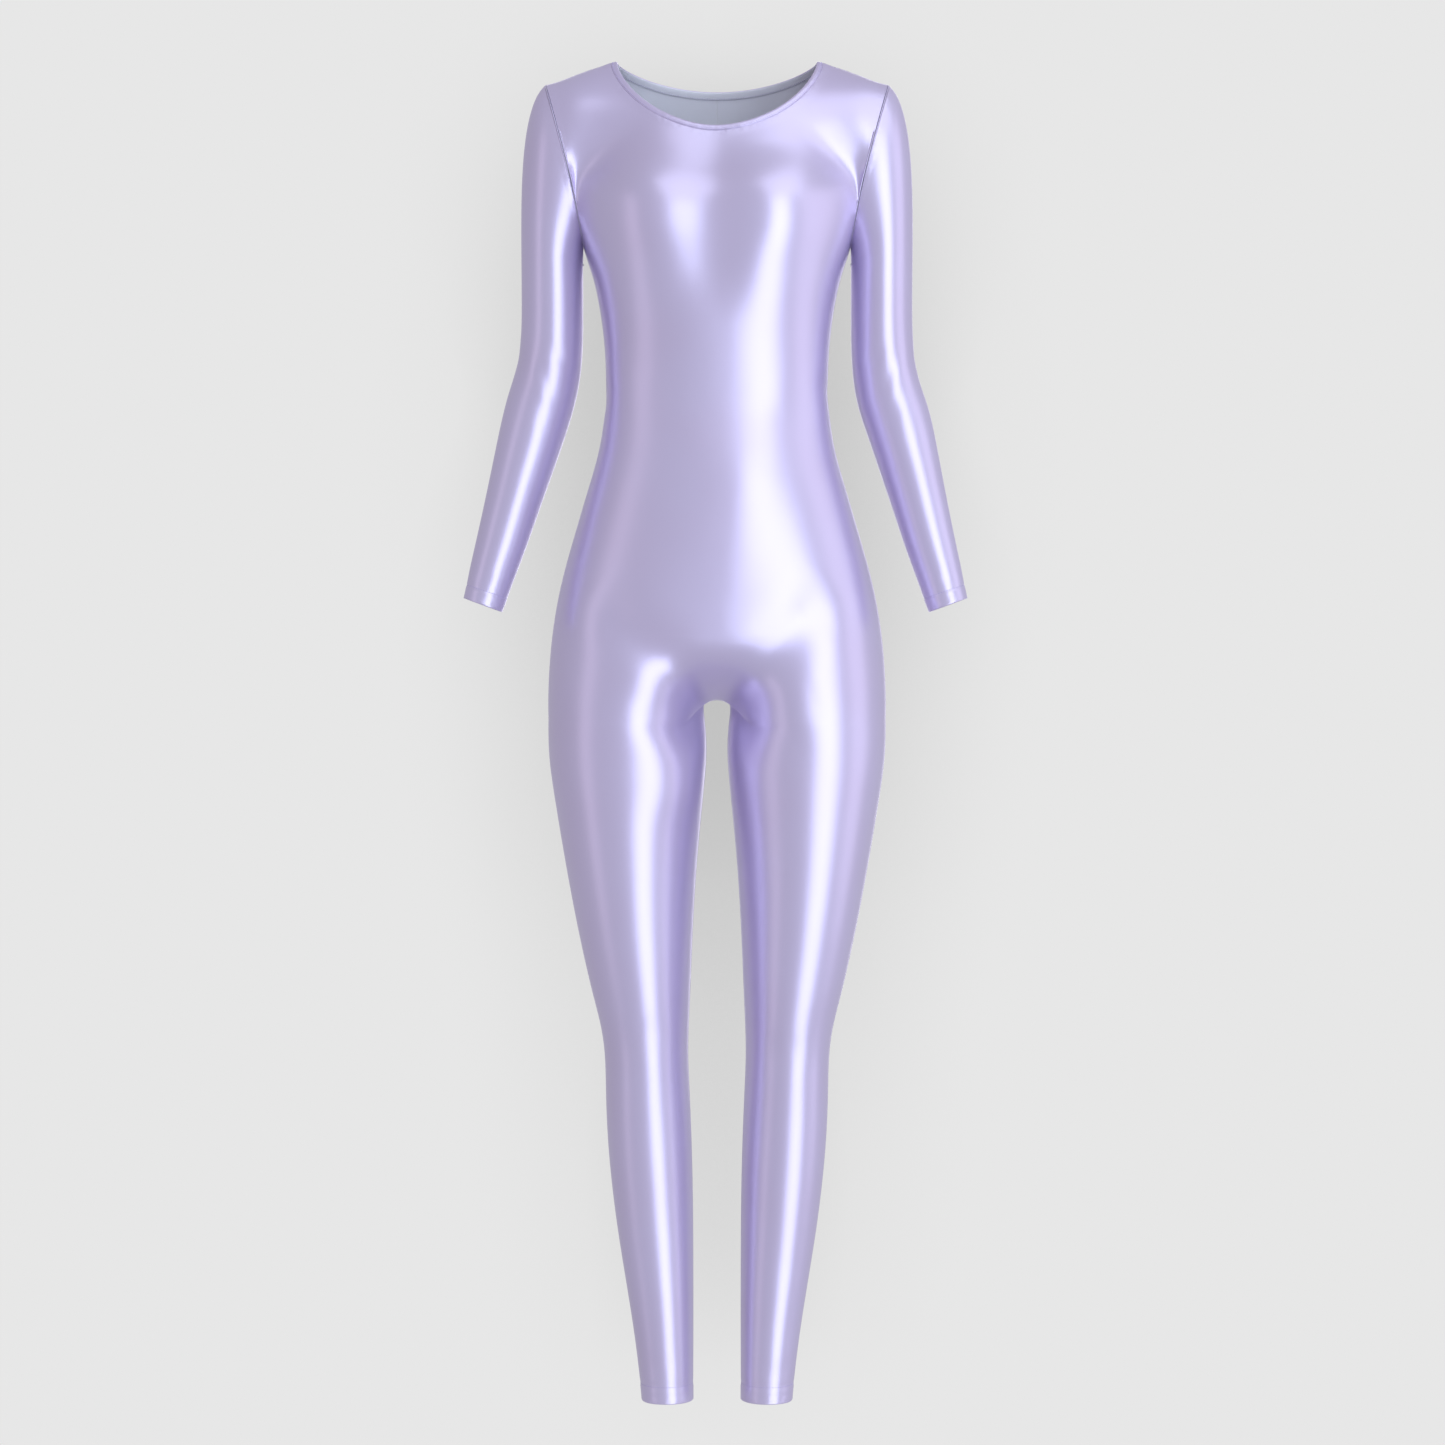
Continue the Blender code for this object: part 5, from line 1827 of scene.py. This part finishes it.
@dataclass
class Studio:
    """The camera, the lights, the floor and the pale wall behind the suit."""

    camera_away: float = 3.8
    camera_x: float = 0.0057
    camera_z: float = -0.687
    frame_width: float = 1.503
    sensor: float = 36.0
    wall_y: float = 0.17
    wall_half: float = 1.3
    wall_top: float = 0.75
    wall_shade: float = 0.22
    floor_z: float = -1.5
    floor_half: float = 3.0
    floor_shade: float = 0.3
    pale: str = "#E7E7E7"
    # Painted shadow: the grey that the wall and floor are painted where the suit stands near them.
    painted_shadow_grey: str = "#BEBEBE"
    room: str = "#ECEBF4"
    fill: float = 0.6
    boxes: tuple[SoftBox, ...] = (
        SoftBox("key_box", 29.0, -3.0, 3.0, 2.0, 4.6, 60.0, "#E0F0FF", -0.66),
        SoftBox("side_box", 84.0, 6.0, 3.0, 1.8, 3.4, 13.0, "#F2F0FF", -0.6),
        SoftBox("left_box", -62.0, 4.0, 3.0, 1.0, 3.4, 4.5, "#FFF2F6", -0.65),
        SoftBox("top_box", 40.0, 52.0, 2.8, 3.0, 2.2, 21.0, "#EAF4FF", -0.3),
        SoftBox("back_box", 176.0, 12.0, 3.0, 1.6, 2.8, 20.0, "#F8F8FF", -0.6),
    )

    def build(self) -> None:
        """Set the whole studio up."""
        self.camera()
        self.world()
        self.stage_planes()
        for box in self.boxes:
            box.build()
        settings = bpy.context.scene.view_settings
        settings.view_transform = "Standard"
        settings.look = "None"

    def camera(self) -> None:
        """Place the camera straight in front, at the photograph's distance."""
        data = bpy.data.cameras.new("camera")
        data.sensor_fit = "HORIZONTAL"
        data.sensor_width = self.sensor
        data.lens = self.sensor * self.camera_away / self.frame_width
        eye = linked("camera", data)
        eye.location = (self.camera_x, -self.camera_away, self.camera_z)
        eye.rotation_euler = (np.pi / 2, 0.0, 0.0)
        bpy.context.scene.camera = eye

    def world(self) -> None:
        """Give the even light of the room, and its pale tone to the camera."""
        world = bpy.data.worlds.new("studio_room")
        bpy.context.scene.world = world
        world.use_nodes = True
        tree = world.node_tree
        tree.nodes.clear()
        ray = add_node(tree, "ShaderNodeLightPath")
        room = add_node(tree, "ShaderNodeBackground", {"Color": linear(self.room), "Strength": self.fill})
        seen = add_node(tree, "ShaderNodeBackground", {"Color": linear(self.pale), "Strength": 1.0})
        both = add_node(
            tree, "ShaderNodeMixShader", {},
            {0: ray.outputs["Is Camera Ray"], 1: room.outputs["Background"], 2: seen.outputs["Background"]},
        )
        add_node(tree, "ShaderNodeOutputWorld", {}, {"Surface": both.outputs["Shader"]})

    def stage_planes(self) -> None:
        """Make the floor and the wall, pale, with a painted shadow where the suit is near."""
        wide, low, top = self.wall_half, self.floor_z, self.wall_top
        upright = [(-wide, low), (wide, low), (wide, top), (-wide, top)]
        wall_corners = [(x, self.wall_y, z) for x, z in upright]
        wall = plane_object("studio_wall", wall_corners, self.backdrop("backdrop_paper", self.wall_shade))
        half = self.floor_half
        level = [(-half, -half), (half, -half), (half, half), (-half, half)]
        floor_corners = [(x, y, self.floor_z) for x, y in level]
        floor = plane_object("studio_floor", floor_corners, self.backdrop("floor_paper", self.floor_shade))
        for item in (wall, floor):
            item.visible_glossy = False
            item.visible_diffuse = False
            item.visible_shadow = False

    def backdrop(self, name: str, reach: float) -> bpy.types.Material:
        """Build the matt paper, glowing evenly, with a painted soft shadow where something stands near it.

        Args:
            name: The material's name.
            reach: How far the painted shadow reaches, in metres.

        Returns:
            The material.
        """
        material = blank_material(name)
        tree = material.node_tree
        # Painted shadow: occlusion by the suit mixes the glowing paper towards the painted shadow grey.
        near = add_node(tree, "ShaderNodeAmbientOcclusion", {"samples": 16, "Distance": reach})
        eased = add_node(
            tree, "ShaderNodeMapRange",
            {"interpolation_type": "SMOOTHSTEP", "From Min": 0.1, "From Max": 1.0},
            {"Value": near.outputs["AO"]},
        )
        tone = add_node(tree, "ShaderNodeMix", {"data_type": "RGBA"}, {0: eased.outputs["Result"]})
        tone.inputs[6].default_value = linear(self.painted_shadow_grey)
        tone.inputs[7].default_value = linear(self.pale)
        lit = add_node(tree, "ShaderNodeEmission", {"Strength": 1.0}, {"Color": tone.outputs[2]})
        clear = add_node(tree, "ShaderNodeBsdfTransparent")
        side = add_node(tree, "ShaderNodeNewGeometry")
        both = add_node(
            tree, "ShaderNodeMixShader", {},
            {0: side.outputs["Backfacing"], 1: lit.outputs["Emission"], 2: clear.outputs["BSDF"]},
        )
        add_node(tree, "ShaderNodeOutputMaterial", {}, {"Surface": both.outputs["Shader"]})
        return material


def plane_object(name: str, corners: list[tuple], finish: bpy.types.Material) -> bpy.types.Object:
    """Make a flat sheet of four corners, in metres.

    Args:
        name: The object's name.
        corners: Its four corners, in order.
        finish: Its material.

    Returns:
        The object, linked to the scene.
    """
    data = bpy.data.meshes.new(name)
    data.from_pydata([list(corner) for corner in corners], [], [(0, 1, 2, 3)])
    data.materials.append(finish)
    return linked(name, data)


Cut = namedtuple("Cut", "piece node panel flat area")
CUTS = (
    Cut("front_panel", "front", Panel.FRONT, (0.47, 1.41), 0.52),
    Cut("back_left_panel", "back_left", Panel.BACK_LEFT, (0.25, 1.42), 0.26),
    Cut("back_right_panel", "back_right", Panel.BACK_RIGHT, (0.25, 1.42), 0.26),
)
SLEEVE_CUT = ((0.25, 0.57), 0.105)
BINDING_FLAT = (0.65, 0.0105)

Sleeve = namedtuple("Sleeve", "panel mirror elbow_drop cuff_in")
SLEEVES = (
    Sleeve(Panel.SLEEVE_LEFT, 1.0, 7.0, 3.0),
    Sleeve(Panel.SLEEVE_RIGHT, -1.0, 0.0, 0.0),
)


@dataclass
class SpandexSuit:
    """The whole suit: body panels, sleeves, binding and sewing."""

    rounds: int = 3
    cloth: Cloth = field(default_factory=Cloth)
    binding: NeckBinding = field(default_factory=NeckBinding)
    outside: TricotFinish = TricotFinish(
        "nylon_spandex_tricot_face", "#D4CAE9", "#D0C2E0", metallic=0.6, roughness=0.34, sheen=0.04, coat=0.1
    )
    inside: TricotFinish = TricotFinish(
        "nylon_spandex_tricot_back", "#F2F2FB", "#E6E6F3", metallic=0.0, roughness=0.55, sheen=0.15, coat=0.0
    )
    thread: ThreadFinish = ThreadFinish("polyester_thread_lilac", "#BBB0DA")

    def build(self) -> None:
        """Build every piece of the suit, attach it to the frame and hide the CAD part that it replaces."""
        face, back, thread = self.outside.build(), self.inside.build(), self.thread.build()
        body = BodyForm()
        coarse, fine = body.cage().through_its_points().smooth_steps(self.rounds)
        coarse = self.cloth.lift(coarse, BODY_CREASES)
        fine = self.cloth.lift(fine, BODY_CREASES)
        sewing = self.hem_sewing(fine, "ankle")
        for cut in CUTS:
            piece = self.cloth.wall_object(cut.piece, fine, coarse, cut.panel, [face, back])
            self.declare(piece, cut.node, cut.flat, cut.area)
        strip = self.binding.build(fine, [face, back])
        self.declare(strip, "neck_binding", BINDING_FLAT, None)
        sewing += self.binding.stitching(fine)

        for sleeve in SLEEVES:
            form = SleeveForm(*sleeve, body)
            low, high = form.cage().through_its_points().smooth_steps(self.rounds)
            low = self.cloth.lift(low, SLEEVE_CREASES, sleeve.mirror)
            high = self.cloth.lift(high, SLEEVE_CREASES, sleeve.mirror)
            name = sleeve.panel.name.lower()
            sewing += self.hem_sewing(high, name.replace("sleeve", "cuff"))
            piece = self.cloth.wall_object(name + "_cloth", high, low, sleeve.panel, [face, back])
            self.declare(piece, name, *SLEEVE_CUT)
        self.sew(sewing, thread)

    def hem_sewing(self, fine: Surface, name: str) -> list[Stitching]:
        """Press the hem's stitch line into the cloth and give the rows of stitches for it.

        Args:
            fine: The surface, whose points are moved.
            name: The hem's name, such as ankle.

        Returns:
            One path for each hem.
        """
        facing = fine.normals()
        rows = []
        in_hem = self.cloth.in_hem(fine)
        fine.points[in_hem] += facing[in_hem] * self.cloth.hem_puff
        for loop in loops_of(seam_edges(fine, fine.zones)):
            fine.points[loop] -= facing[loop] * (self.cloth.hem_puff + self.cloth.stitch_press)
            side = f"{name}_{'right' if fine.points[loop][:, 0].mean() < 0 else 'left'}"
            label = name if name.startswith("cuff") else side
            rows.append(loop_stitching(f"{label}_hem_stitches", fine, loop, self.cloth.stitch_raise))
        return rows

    def sew(self, rows: list[Stitching], thread: bpy.types.Material) -> None:
        """Lay every row of stitches.

        Args:
            rows: The paths.
            thread: The thread's finish.
        """
        hems, neck = StitchMaker(), StitchMaker(pitch=2.6, length=1.7, width=0.55)
        trees = {id(maker): maker.tree() for maker in (hems, neck)}
        for path in rows:
            maker = neck if path.name.startswith("neck") else hems
            piece = maker.row(trees[id(maker)], path, thread)
            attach(piece, "root")
            LOG.info("sewed %s", path.name)

    def declare(
        self, piece: bpy.types.Object, node: str, flat: tuple[float, float], area: float | None
    ) -> None:
        """Attach a cloth piece to the frame and hide the CAD part that it replaces.

        Args:
            piece: The piece's object.
            node: The CAD node that it replaces.
            flat: The flat cut's width and length, in metres; not used.
            area: The cut's area in square metres, or None for a full rectangle; not used.
        """
        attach(piece, "root")
        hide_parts(node)
        LOG.info("made %s with %d faces", piece.name, len(piece.data.polygons))


def main() -> None:
    """Build the suit and its studio, and report each piece."""
    logging.basicConfig(level=logging.INFO, format="%(message)s")
    SpandexSuit().build()
    Studio().build()


if __name__ == "__main__":
    main()
